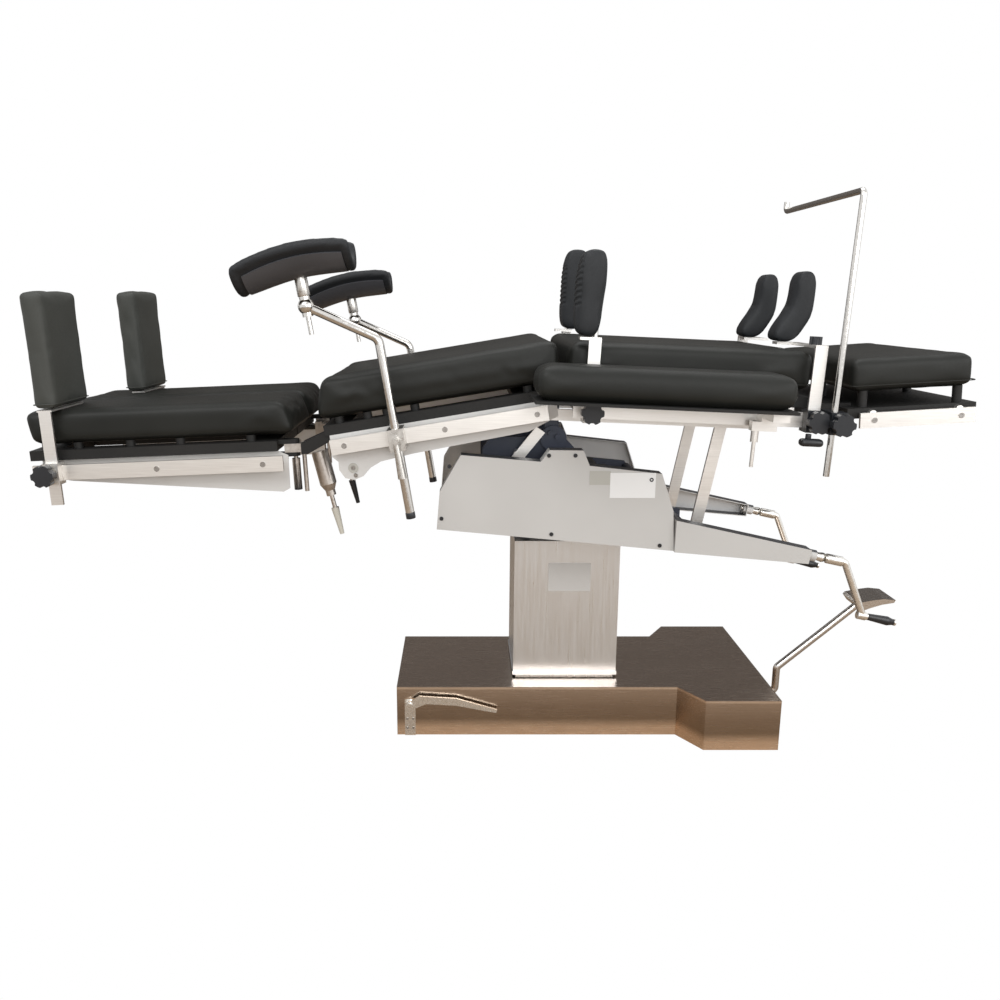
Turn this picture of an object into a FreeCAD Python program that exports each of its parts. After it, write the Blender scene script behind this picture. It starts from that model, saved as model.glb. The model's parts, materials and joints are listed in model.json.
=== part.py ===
"""Operating table on a hydraulic column, posed with flexed seat, back, head and split leg sections.

Frame: the origin is on the floor under the column's centre, +X runs to the head end, +Z is up,
and "near" is the side at negative Y. All lengths are millimetres and all angles are degrees.
"""
import FreeCAD, Part
import math
import os

import Sketcher
from FreeCAD import Placement, Rotation, Vector

os.makedirs("parts", exist_ok=True)
doc = FreeCAD.newDocument("OperatingTable")
sheet = doc.addObject("Spreadsheet::Sheet", "Sizes")
nodes = {}


# Sizes: each one is a number and the expression that gives it on the sheet

class Size:
    """A length or an angle, as a number and as an expression on the sheet."""

    def __init__(self, value, text):
        self.value = value
        self.text = text

    def __add__(self, other):
        other = as_size(other)
        return Size(self.value + other.value, f"({self.text} + {other.text})")

    def __sub__(self, other):
        other = as_size(other)
        return Size(self.value - other.value, f"({self.text} - {other.text})")

    def __mul__(self, other):
        other = as_size(other)
        return Size(self.value * other.value, f"({self.text} * {other.text})")

    def __truediv__(self, other):
        other = as_size(other)
        return Size(self.value / other.value, f"({self.text} / {other.text})")

    def __radd__(self, other):
        return as_size(other) + self

    def __rsub__(self, other):
        return as_size(other) - self

    def __rmul__(self, other):
        return as_size(other) * self

    def __neg__(self):
        return as_size(0) - self


def as_size(number):
    """A plain number as a Size; a Size as it is."""
    if isinstance(number, Size):
        return number
    return Size(float(number), repr(number))


def cosine(angle):
    angle = as_size(angle)
    return Size(math.cos(math.radians(angle.value)), f"cos({angle.text} * 1 deg)")


def sine(angle):
    angle = as_size(angle)
    return Size(math.sin(math.radians(angle.value)), f"sin({angle.text} * 1 deg)")


def size(alias, value, meaning):
    """Write one driving size on the sheet and give it back."""
    row = size.row = size.row + 1
    sheet.set(f"A{row}", alias)
    sheet.set(f"B{row}", repr(value))
    sheet.set(f"C{row}", meaning)
    sheet.setAlias(f"B{row}", alias)
    return Size(float(value), f"Sizes.{alias}")


size.row = 0


def derived(alias, amount, meaning):
    """Write a size that follows from others on the sheet and give it back."""
    row = size.row = size.row + 1
    sheet.set(f"A{row}", alias)
    sheet.set(f"B{row}", "=" + amount.text.replace("Sizes.", ""))
    sheet.set(f"C{row}", meaning)
    sheet.setAlias(f"B{row}", alias)
    return Size(amount.value, f"Sizes.{alias}")


# Fits and walls
touch = size("soft_gap", 0.3, "gap between a soft or sliding piece and its neighbour")
run_fit = size("running_clearance", 0.06, "radial clearance of a shaft in its bore")
steel_wall = size("sheet_wall", 2.0, "wall of the sheet steel covers")
plate_wall = size("plate_wall", 4.0, "painted side plates")

# Base
base_foot_end = size("base_foot_end", 410.0, "column centre to the foot end of the base")
base_head_end = size("base_head_end", 491.0, "column centre to the head end of the base")
base_narrow = size("base_narrow_half", 166.0, "half width of the base under the column")
base_wide = size("base_wide_half", 243.0, "half width of the base at the head end")
base_flare = size("base_flare_start", 266.0, "where the base starts to widen")
base_flare_end = size("base_flare_end", 315.0, "where the base is fully wide")
base_tall = size("base_tall", 125.0, "height of the base cover")
base_plate_thick = size("base_plate_thick", 12.0, "floor plate")
floor_gap = size("floor_gap", 0.5, "cover edge above the floor")

# Column
column_long = size("column_long", 253.0, "outer column, along the table")
column_wide = size("column_wide", 209.0, "outer column, across the table")
column_low = size("column_low", 131.0, "lower edge of the outer column at the lowest height")
column_top = size("column_top", 472.0, "top of the outer column at the lowest height")
mast_gap = size("mast_gap", 4.0, "gap between the inner and the outer column")
mast_wall = size("mast_wall", 6.0, "wall of the inner column")
mast_top = size("mast_top", 432.0, "top of the inner column")
barrel_radius = size("barrel_radius", 44.0, "lift cylinder barrel")
ram_radius = size("ram_radius", 28.0, "lift ram")
pipe_radius = size("pipe_radius", 7.0, "oil pipe from the pump to the cylinder")
barrel_top = size("barrel_top", 410.0, "top of the lift cylinder")
ram_low = size("ram_low", 120.0, "lower end of the ram at the lowest height")

# Tilt head
tilt_high = size("tilt_high", 610.0, "height of both tilt axes at the lowest height")
saddle_thick = size("saddle_thick", 16.0, "saddle plate")
saddle_ear = size("saddle_ear", 88.0, "column centre to the inner face of a saddle ear")
saddle_ear_thick = size("saddle_ear_thick", 14.0, "saddle ear")
arm_root_z = derived("arm_root_z", tilt_high - 118, "posts of the crank arms and foot of the struts")
tilt_pin = size("tilt_pin_radius", 14.0, "pins of both tilt axes")
yoke_long = size("yoke_long", 160.0, "yoke block along the table")
yoke_wide = size("yoke_wide", 190.0, "yoke block across the table")
yoke_tall = size("yoke_tall", 60.0, "yoke block height")

# Widths that the accessories, covers and arms follow
board_half = size("board_half", 245.0, "half width of the boards")
rail_stand = size("rail_stand", 12.0, "rail from the boards' edge")
rail_thick = size("rail_thick", 8.0, "accessory rail thickness")
rail_inner = derived("rail_inner", board_half + rail_stand, "inner face of an accessory rail")
rail_face = derived("rail_face", rail_inner + rail_thick, "outer face of an accessory rail")

# Carriage
web_inner = size("web_inner", 112.0, "inner face of a carriage side plate")
web_thick = size("web_thick", 10.0, "carriage side plate")
cover_inset = size("cover_inset", 8.0, "side cover inside the crank arms' outer face")
cover_outer = derived("cover_outer", board_half - cover_inset, "outer face of a side cover")
cover_deep = size("cover_deep", 36.0, "depth of a side cover")
arm_outer = board_half
arm_deep = size("arm_deep", 38.0, "depth of a crank arm")
hinge_x = size("hinge_x", -45.0, "seat and back hinge axis, along the table")
hinge_z = size("hinge_z", 838.0, "seat and back hinge axis, height")
hinge_pin = size("hinge_pin_radius", 8.0, "seat and back hinge shaft")
knuckle = size("knuckle_radius", 15.0, "outer radius of a hinge knuckle")
knuckle_thick = size("knuckle_thick", 10.0, "width of a hinge knuckle")
strut_wide = size("strut_wide", 27.0, "strut, along the table")
strut_thick = size("strut_thick", 8.0, "strut, across the table")

# Tabletop
pad_over = size("pad_over", 5.0, "cushions over the boards' edge")
pad_half = derived("pad_half", board_half + pad_over, "half width of the cushions")
board_thick = size("board_thick", 22.0, "X-ray clear boards")
board_lift = size("board_lift", 8.0, "board underside above the rail's top edge")
frame_bar = size("frame_bar", 42.0, "bars around the windows of the seat and leg boards")
tray_gap = size("tray_gap", 14.0, "gap for a film tray between board and cushion")
peg_radius = size("peg_radius", 10.0, "spacer between board and cushion")
rail_tall = size("rail_tall", 33.0, "accessory rail height")
standoff_radius = size("standoff_radius", 8.0, "spacer behind a rail")

# Places of the four sections: a point on the rail's top edge, and the slope
seat_drop = size("seat_drop", 18.0, "hinge axis over the seat rail's top")
back_drop = size("back_drop", 15.0, "hinge axis over the back rail's top")
seat_x = hinge_x
seat_z = derived("seat_z", hinge_z - seat_drop, "seat section, rail top")
seat_slope = size("seat_slope", 9.3, "rise of the seat section to the head end")
back_x = hinge_x
back_z = derived("back_z", hinge_z - back_drop, "back section, rail top")
back_slope = size("back_slope", 2.5, "fall of the back section to the head end")
head_slope = size("head_slope", 3.3, "rise of the head section to the head end")
leg_slope = size("leg_slope", 2.4, "rise of the leg sections to the head end")
back_board_right = size("back_board_right", 546.0, "head end of the back board")
head_gap = size("head_gap", 98.4775, "head section from the back board's end")
head_reach = derived("head_reach", back_board_right + head_gap, "head section, along the back section")
head_rise = size("head_rise", 3.1147, "head section, over the back section's rail top")
seat_board_left = size("seat_board_left", -510.0, "foot end of the seat board")
leg_gap = size("leg_gap", 109.5796, "leg sections from the seat board's end")
leg_reach = derived("leg_reach", seat_board_left - leg_gap, "leg sections, along the seat section")
leg_rise = size("leg_rise", -15.0717, "leg sections, over the seat section's rail top")

def in_frame(x, z, frame_x, frame_z, slope, rising=True):
    """A point of the table's frame in a section's frame."""
    across = as_size(x) - frame_x
    up = as_size(z) - frame_z
    lean = as_size(slope) if rising else -as_size(slope)
    local_x = across * cosine(lean) + up * sine(lean)
    local_z = up * cosine(lean) - across * sine(lean)
    return local_x, local_z


def out_of_frame(x, z, frame_x, frame_z, slope, rising=True):
    """A point of a section's frame in the table's frame."""
    lean = as_size(slope) if rising else -as_size(slope)
    across = frame_x + as_size(x) * cosine(lean) - as_size(z) * sine(lean)
    up = frame_z + as_size(x) * sine(lean) + as_size(z) * cosine(lean)
    return across, up


head_place = out_of_frame(head_reach, head_rise, back_x, back_z, back_slope, False)
leg_place = out_of_frame(leg_reach, leg_rise, seat_x, seat_z, seat_slope)
head_x = derived("head_x", head_place[0], "head section, along the table")
head_z = derived("head_z", head_place[1], "head section, rail top")
leg_x = derived("leg_x", leg_place[0], "leg sections, along the table")
leg_z = derived("leg_z", leg_place[1], "leg sections, rail top")

# Lengths of the sections, from the same points, and their cushions
seat_board_right = size("seat_board_right", -34.0, "head end of the seat board")
seat_pad_over = size("seat_pad_over", 17.0, "seat cushion past its board at the foot end")
seat_pad_left = derived("seat_pad_left", seat_board_left - seat_pad_over, "foot end of the seat cushion")
seat_pad_right = size("seat_pad_right", 13.0, "head end of the seat cushion")
seat_bevel_left = size("seat_bevel_left", 23.0, "lean of the seat cushion's foot end")
seat_bevel_right = size("seat_bevel_right", 10.0, "lean of the seat cushion's head end")
seat_pad_thick = size("seat_pad_thick", 88.0, "seat cushion")
back_board_left = size("back_board_left", 32.0, "foot end of the back board")
back_pad_left = size("back_pad_left", 14.0, "foot end of the back cushion")
back_pad_right = back_board_right
back_pad_thick = size("back_pad_thick", 84.0, "back cushion")
head_board_left = size("head_board_left", -20.0, "foot end of the head board")
head_board_right = size("head_board_right", 256.0, "head end of the head board")
head_board_low = size("head_board_low", -14.0, "head board underside, from the rail's top edge")
head_pad_left = size("head_pad_left", -15.0, "foot end of the head cushion")
head_pad_right = size("head_pad_right", 254.0, "head end of the head cushion")
head_pad_thick = size("head_pad_thick", 69.0, "head cushion")
head_pad_low = size("head_pad_low", 44.0, "head cushion underside, from the rail's top edge")
leg_board_left = size("leg_board_left", -540.0, "foot end of the leg boards")
leg_pad_left = size("leg_pad_left", -553.0, "foot end of the leg cushions")
leg_pad_right = size("leg_pad_right", 50.0, "head end of the leg cushions")
leg_pad_thick = size("leg_pad_thick", 72.0, "leg cushions")
leg_plate_inset = size("leg_plate_inset", 12.0, "leg side plates inside the boards' edge")
leg_plate_outer = derived("leg_plate_outer", board_half - leg_plate_inset, "outer face of the leg side plates")
leg_split = size("leg_split", 3.0, "half of the split between the legs")
pad_round = size("pad_round", 14.0, "rounding of the cushions' edges")

# Leg hinges
fold_x = size("fold_x", 58.5, "leg fold axis, in the leg section's frame")
fold_z = size("fold_z", 10.6, "leg fold axis, in the leg section's frame")
swing_x = size("swing_x", 32.0, "leg swing axis, in the leg section's frame")
leg_pivot_inset = size("leg_pivot_inset", 30.0, "leg hinge inside the boards' edge")
leg_pivot_y = derived("leg_pivot_y", board_half - leg_pivot_inset, "leg hinge, from the middle of the table")
leg_pin = size("leg_pin_radius", 7.0, "fold and swing pins of the legs")
leg_barrel = size("leg_barrel_radius", 12.0, "fold barrel of a leg hinge")
leg_lock_lean = size("leg_lock_lean", 11.0, "lean of the leg lock's cylinder")
leg_block_half = size("leg_block_half", 12.0, "half width of a leg hinge block")

# Head hinge
head_hinge_x = size("head_hinge_x", -53.8, "head hinge axis, in the head section's frame")
head_hinge_z = size("head_hinge_z", 5.1, "head hinge axis, in the head section's frame")
head_hinge_y = size("head_hinge_y", 185.0, "head hinge, from the middle of the table")

# Accessories
post_reach = size("post_reach", 35.0, "round posts of the leg supports and the screen, from the rail's face")
post_y = derived("post_y", rail_face + post_reach, "round posts, from the middle of the table")
post_radius = size("post_radius", 9.5, "round post of a leg support")
screen_radius = size("screen_radius", 6.5, "rod of the anaesthesia screen")
strap_reach = size("strap_reach", 2.0, "flat posts from the rail's face")
strap_inner = derived("strap_inner", rail_face + strap_reach, "inner face of the flat posts")
strap_thick = size("strap_thick", 6.0, "flat posts")
strap_wide = size("strap_wide", 26.0, "flat posts, along the rail")
clamp_wide = size("clamp_wide", 34.0, "rail clamps, along the rail")
knob_radius = size("knob_radius", 24.0, "star knobs")
knob_thick = size("knob_thick", 20.0, "star knobs")


# Building blocks

def bind(thing, prop, amount):
    """Set a property and bind it to its sizes."""
    amount = as_size(amount)
    thing.setExpression(prop, amount.text)


def place(thing, x=0, y=0, z=0, turn=None, axis=(0, 1, 0)):
    """Put a thing at x, y, z, turned about a fixed axis by a bound angle."""
    angle = as_size(0 if turn is None else turn)
    where = Vector(as_size(x).value, as_size(y).value, as_size(z).value)
    thing.Placement = Placement(where, Rotation(Vector(*axis), angle.value))
    bind(thing, "Placement.Base.x", x)
    bind(thing, "Placement.Base.y", y)
    bind(thing, "Placement.Base.z", z)
    if turn is not None:
        bind(thing, "Placement.Rotation.Angle", angle)
    return thing


def box(name, x, y, z):
    """A box between two values along each axis."""
    solid = doc.addObject("Part::Box", name)
    bind(solid, "Length", as_size(x[1]) - x[0])
    bind(solid, "Width", as_size(y[1]) - y[0])
    bind(solid, "Height", as_size(z[1]) - z[0])
    return place(solid, x[0], y[0], z[0])


TURNS = {"x": ((0, 1, 0), 90), "y": ((-1, 0, 0), 90), "z": ((0, 0, 1), 0)}


def rod(name, along, radius, start, length):
    """A round bar from a start point along +x, +y or +z."""
    solid = doc.addObject("Part::Cylinder", name)
    bind(solid, "Radius", radius)
    bind(solid, "Height", length)
    axis, angle = TURNS[along]
    place(solid, *start)
    solid.Placement = Placement(solid.Placement.Base, Rotation(Vector(*axis), angle))
    return solid


def cone(name, along, radius_low, radius_high, start, length):
    """A tapered round bar from a start point along +x, +y or +z."""
    solid = doc.addObject("Part::Cone", name)
    bind(solid, "Radius1", radius_low)
    bind(solid, "Radius2", radius_high)
    bind(solid, "Height", length)
    axis, angle = TURNS[along]
    place(solid, *start)
    solid.Placement = Placement(solid.Placement.Base, Rotation(Vector(*axis), angle))
    return solid


def fuse(name, pieces):
    """All pieces as one shape."""
    joined = doc.addObject("Part::MultiFuse", name)
    joined.Shapes = pieces
    joined.Refine = True
    return joined


def cut(name, base, tools):
    """A base less one or more tools."""
    tool = tools[0] if len(tools) == 1 else fuse(name + "_tools", tools)
    result = doc.addObject("Part::Cut", name)
    result.Base = base
    result.Tool = tool
    result.Refine = True
    return result


def compound(name, pieces):
    """Separate solids of one node."""
    group = doc.addObject("Part::Compound", name)
    group.Links = pieces
    return group


def origin_plane(body, role):
    return next(f for f in body.Origin.OriginFeatures if f.Role == role)


def outline(body, name, role, corners):
    """A closed outline on an origin plane, each corner pinned by two bound distances."""
    sketch = body.newObject("Sketcher::SketchObject", name)
    sketch.AttachmentSupport = (origin_plane(body, role), [""])
    sketch.MapMode = "FlatFace"
    corners = [(as_size(across), as_size(up)) for across, up in corners]
    count = len(corners)
    for index, (across, up) in enumerate(corners):
        after = corners[(index + 1) % count]
        start = Vector(across.value, up.value, 0)
        sketch.addGeometry(Part.LineSegment(start, Vector(after[0].value, after[1].value, 0)), False)
    for index in range(count):
        sketch.addConstraint(Sketcher.Constraint("Coincident", index, 2, (index + 1) % count, 1))
    for index, (across, up) in enumerate(corners):
        for kind, amount in (("DistanceX", across), ("DistanceY", up)):
            made = Sketcher.Constraint(kind, -1, 1, index, 1, amount.value)
            number = sketch.addConstraint(made)
            sketch.setExpression(f"Constraints[{number}]", amount.text)
    return sketch


def slab(name, role, corners, low, high):
    """A body: an outline padded between two distances along its plane's positive axis."""
    body = doc.addObject("PartDesign::Body", name)
    sketch = outline(body, name + "_outline", role, corners)
    pad = body.newObject("PartDesign::Pad", name + "_pad")
    pad.Profile = sketch
    bind(pad, "Length", as_size(high) - low)
    pad.Reversed = role == "XZ_Plane"
    start = -as_size(low) if role == "XZ_Plane" else as_size(low)
    sketch.setExpression(".AttachmentOffset.Base.z", start.text)
    doc.recompute()
    return body


def edges_of(feature, keep):
    """Names of a feature's edges that a test keeps."""
    return [f"Edge{n}" for n, edge in enumerate(feature.Shape.Edges, 1) if keep(edge)]


def faces_of(feature, keep):
    return [f"Face{n}" for n, face in enumerate(feature.Shape.Faces, 1) if keep(face)]


def rounded(body, radius, keep):
    """Round the edges of a body that a test keeps."""
    base = body.Tip
    fillet = body.newObject("PartDesign::Fillet", body.Name + "_round")
    fillet.Base = (base, edges_of(base, keep))
    bind(fillet, "Radius", radius)
    doc.recompute()
    return body


def hollowed(body, wall, keep):
    """Turn a body into a shell that is open at the faces a test keeps."""
    base = body.Tip
    shell = body.newObject("PartDesign::Thickness", body.Name + "_shell")
    shell.Base = (base, faces_of(base, keep))
    bind(shell, "Value", wall)
    shell.Mode = "Skin"
    shell.Join = "Intersection"
    shell.Reversed = True
    doc.recompute()
    return body


def bent_rod(name, radius, points, bend):
    """A round bar through points, with an arc at each inner point."""
    path = [Vector(*[as_size(c).value for c in point]) for point in points]
    edges = []
    start = path[0]
    for before, corner, after in zip(path, path[1:], path[2:]):
        back = (before - corner).normalize()
        ahead = (after - corner).normalize()
        half = back.getAngle(ahead) / 2
        reach = as_size(bend).value / math.tan(half)
        first = corner + back * reach
        last = corner + ahead * reach
        middle = (back + ahead).normalize()
        centre = corner + middle * (as_size(bend).value / math.sin(half))
        edges.append(Part.LineSegment(start, first).toShape())
        edges.append(Part.Arc(first, centre - middle * as_size(bend).value, last).toShape())
        start = last
    edges.append(Part.LineSegment(start, path[-1]).toShape())
    circle = Part.Circle(path[0], path[1] - path[0], as_size(radius).value).toShape()
    swept = Part.Wire(edges).makePipeShell([Part.Wire([circle])], True, True)
    bar = doc.addObject("Part::Feature", name)
    bar.Shape = swept
    return bar


def node(label, solid):
    """Name a finished sub-part."""
    solid.Label = label
    nodes[label] = solid
    return solid


def sloped(label, solid, x, z, slope, rising=True):
    """Name a sub-part that was built in a section's frame and put it in its place."""
    place(solid, x, 0, z, slope, (0, -1 if rising else 1, 0))
    return node(label, solid)


def on_seat(label, solid):
    return sloped(label, solid, seat_x, seat_z, seat_slope)


def on_back(label, solid):
    return sloped(label, solid, back_x, back_z, back_slope, False)


def on_head(label, solid):
    return sloped(label, solid, head_x, head_z, head_slope)


def on_leg(label, solid):
    return sloped(label, solid, leg_x, leg_z, leg_slope)


def band(side, inner, outer):
    """The span between two distances from the middle, on one side of the table."""
    inner, outer = as_size(inner), as_size(outer)
    return (inner, outer) if side > 0 else (-outer, -inner)


SIDES = (("near", -1), ("far", 1))


def mirrored_slab(name, corners, inner, outer):
    """The same upright plate on both sides of the table."""
    return [slab(f"{name}_{word}", "XZ_Plane", corners, *band(side, inner, outer)) for word, side in SIDES]


# Base: floor plate, cover, inner column, hydraulic unit, brake lever and pedal

def base_outline(inset):
    """The base seen from above, drawn in by an inset."""
    foot, head = -base_foot_end + inset, base_head_end - inset
    narrow, wide = base_narrow - inset, base_wide - inset
    flare, flare_end = base_flare + inset, base_flare_end + inset
    return [(foot, -narrow), (flare, -narrow), (flare_end, -wide), (head, -wide),
            (head, wide), (flare_end, wide), (flare, narrow), (foot, narrow)]


mast_long = column_long / 2 - steel_wall - mast_gap
mast_wide = column_wide / 2 - steel_wall - mast_gap
pedal_x = size("pedal_x", 452.0, "pedal axis, along the table")
pedal_z = size("pedal_z", 38.0, "pedal axis, height")
pedal_pin = size("pedal_pin_radius", 8.0, "pedal pin")
pedal_bar = size("pedal_bar_radius", 9.0, "pedal bar")
pedal_hub = size("pedal_hub_half", 14.0, "half width of the pedal hub")
brake_x = size("brake_x", -378.0, "brake axis, along the table")
brake_z = size("brake_z", 81.0, "brake axis, height")
brake_pin = size("brake_pin_radius", 5.0, "brake pin")
brake_strap = size("brake_strap", 3.0, "brake strap thickness")
brake_hub = size("brake_hub_wide", 11.0, "brake hub, along its pin")


def build_base():
    node("base_plate", slab("base_plate", "XY_Plane", base_outline(steel_wall), 0, base_plate_thick))
    cover = slab("base_cover_shell", "XY_Plane", base_outline(0), floor_gap, base_tall)
    hollowed(cover, steel_wall, lambda f: abs(f.CenterOfMass.z - floor_gap.value) < 0.01)
    opening = box("column_opening", (-mast_long - 1, mast_long + 1), (-mast_wide - 1, mast_wide + 1),
                  (base_tall - steel_wall - 1, base_tall + 1))
    slot = box("pedal_slot", (base_head_end - 10, base_head_end + 10), (-pedal_hub - 4, pedal_hub + 4),
               (base_plate_thick + 2, pedal_z + 26))
    strap = box("brake_strap", (brake_x - 13, brake_x + 13),
                (-base_narrow - brake_strap, -base_narrow), (floor_gap, brake_z + 14))
    pin_start = -base_narrow - brake_strap - brake_hub - 1
    pin = rod("brake_pin", "y", brake_pin, (brake_x, pin_start, brake_z), brake_hub + 1)
    head = rod("brake_pin_head", "y", brake_pin + 4, (brake_x, pin_start - 3, brake_z), 3)
    shell = cut("base_cover_cut", cover, [opening, slot])
    node("base_cover", fuse("base_cover", [shell, strap, pin, head]))


def build_mast():
    outer = box("mast_outer", (-mast_long, mast_long), (-mast_wide, mast_wide), (base_plate_thick, mast_top))
    inner = box("mast_inner", (-mast_long + mast_wall, mast_long - mast_wall),
                (-mast_wide + mast_wall, mast_wide - mast_wall), (base_plate_thick - 1, mast_top + 1))
    pipe_hole = rod("mast_pipe_hole", "x", pipe_radius + 1, (mast_long - mast_wall - 5, 0, 60), mast_wall + 10)
    node("mast", cut("mast", outer, [inner, pipe_hole]))


def build_hydraulics():
    barrel = rod("barrel", "z", barrel_radius, (0, 0, base_plate_thick), barrel_top - base_plate_thick)
    flange = rod("barrel_flange", "z", barrel_radius + 16, (0, 0, base_plate_thick), 14)
    bore = rod("barrel_bore", "z", ram_radius + run_fit, (0, 0, ram_low - 20), barrel_top)
    pipe = rod("oil_pipe", "x", pipe_radius, (barrel_radius - 10, 0, 60), 120)
    pump = box("pump_block", (150, pedal_x - 40), (-58, 58), (base_plate_thick, 98))
    tank = rod("oil_tank", "x", 34, (200, 0, 66), 120)
    ears = []
    for word, side in SIDES:
        ears.append(box(f"pedal_ear_{word}", (pedal_x - 42, pedal_x + 15),
                        band(side, pedal_hub + 0.5, pedal_hub + 12), (base_plate_thick, pedal_z + 16)))
    pin = rod("pedal_pin", "y", pedal_pin, (pedal_x, -pedal_hub - 12, pedal_z), pedal_hub * 2 + 24)
    body = cut("cylinder_body", fuse("cylinder_solid", [barrel, flange, pipe]), [bore])
    node("hydraulic_unit", fuse("hydraulic_unit", [body, pump, tank, pin] + ears))


def build_brake():
    far = -base_narrow - brake_strap - 0.5
    near = far - brake_hub + 0.5
    hub = rod("brake_hub", "y", 12, (brake_x, near, brake_z), far - near)
    blade = slab("brake_blade", "XZ_Plane",
                 [(brake_x - 8, brake_z + 4), (brake_x + 6, brake_z - 8), (brake_x + 40, brake_z + 6),
                  (brake_x + 110, brake_z + 2), (brake_x + 208, brake_z - 17), (brake_x + 210, brake_z - 9),
                  (brake_x + 112, brake_z + 20), (brake_x + 22, brake_z + 26)], near, near + 5)
    bore = rod("brake_bore", "y", brake_pin + run_fit, (brake_x, near - 5, brake_z), brake_hub + 10)
    node("brake_lever", cut("brake_lever", fuse("brake_solid", [hub, blade]), [bore]))


def build_pedal():
    hub = rod("pedal_hub", "y", pedal_pin + 7, (pedal_x, -pedal_hub, pedal_z), pedal_hub * 2)
    bore = rod("pedal_bore", "y", pedal_pin + run_fit, (pedal_x, -pedal_hub - 5, pedal_z), pedal_hub * 2 + 10)
    root = pedal_x + 111
    tread_x, tread_z = pedal_x + 318, pedal_z + 256
    bar = bent_rod("pedal_bar", pedal_bar,
                   [(pedal_x + 11, 0, pedal_z), (root, 0, pedal_z), (root, 0, pedal_z + 67),
                    (tread_x - 15, 0, tread_z - 18)], 14)
    tread = slab("pedal_tread", "XZ_Plane",
                 [(tread_x + x, tread_z + z) for x, z in ((-34, -4), (-22, -20), (-2, -12), (26, -3), (56, 2),
                                                          (60, 9), (30, 12), (0, 8), (-29, 2))], -46, 46)
    solid = fuse("pedal_solid", [hub, bar, tread])
    node("pump_pedal", cut("pump_pedal", solid, [bore]))


# Lift: outer column, ram and saddle

def build_lift():
    long, wide = column_long / 2, column_wide / 2
    outer = box("column_outer", (-long, long), (-wide, wide), (column_low, column_top))
    inner = box("column_inner", (-long + steel_wall, long - steel_wall),
                (-wide + steel_wall, wide - steel_wall), (column_low - 1, column_top - saddle_thick))
    neck = box("column_neck", (-saddle_ear - saddle_ear_thick - 2, saddle_ear + saddle_ear_thick + 2), (-52, 52),
               (column_top - saddle_thick - 1, column_top + 1))
    lip = box("column_lip", (-long - 2, long + 2), (-wide - 2, wide + 2), (column_low, column_low + 9))
    lip_hole = box("column_lip_hole", (-long, long), (-wide, wide), (column_low - 1, column_low + 10))
    ring = cut("column_lip_ring", lip, [lip_hole])
    node("column_cover", fuse("column_cover", [cut("column_tube", outer, [inner, neck]), ring]))
    top = column_top - saddle_thick
    node("lift_ram", rod("lift_ram", "z", ram_radius, (0, 0, ram_low), top - ram_low - saddle_thick))
    build_saddle(top)


def build_saddle(top):
    plate = box("saddle_plate", (-long_inside(), long_inside()), (-wide_inside(), wide_inside()),
                (top - saddle_thick, top))
    pieces = [plate]
    for word, side in SIDES:
        across = band(side, saddle_ear, saddle_ear + saddle_ear_thick)
        pieces.append(box(f"saddle_ear_{word}", across, (-48, 48), (top, tilt_high)))
        pieces.append(rod(f"saddle_boss_{word}", "x", 30, (across[0], 0, tilt_high), saddle_ear_thick))
        start = across[0] - 34 if side > 0 else across[0]
        pieces.append(rod(f"lateral_pin_{word}", "x", tilt_pin, (start, 0, tilt_high), saddle_ear_thick + 34))
    node("saddle", fuse("saddle", pieces))


def long_inside():
    return column_long / 2 - steel_wall


def wide_inside():
    return column_wide / 2 - steel_wall


def build_yoke():
    half_long, half_wide, half_tall = yoke_long / 2, yoke_wide / 2, yoke_tall / 2
    block = box("yoke_block", (-half_long, half_long), (-half_wide, half_wide),
                (tilt_high - half_tall, tilt_high + half_tall))
    bore = rod("yoke_bore", "x", tilt_pin + run_fit, (-half_long - 5, 0, tilt_high), yoke_long + 10)
    reach = web_inner + web_thick + 8
    stubs = rod("yoke_stubs", "y", tilt_pin, (0, -reach, tilt_high), reach * 2)
    middle = box("yoke_middle", (-half_long + 36, half_long - 36), (-half_wide, half_wide),
                 (tilt_high - half_tall, tilt_high + half_tall))
    node("tilt_yoke", fuse("tilt_yoke", [cut("yoke_bored", block, [bore]), middle, stubs]))


# Carriage: side plates with the seat hinge, support frame, struts, covers and crank arms

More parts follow.
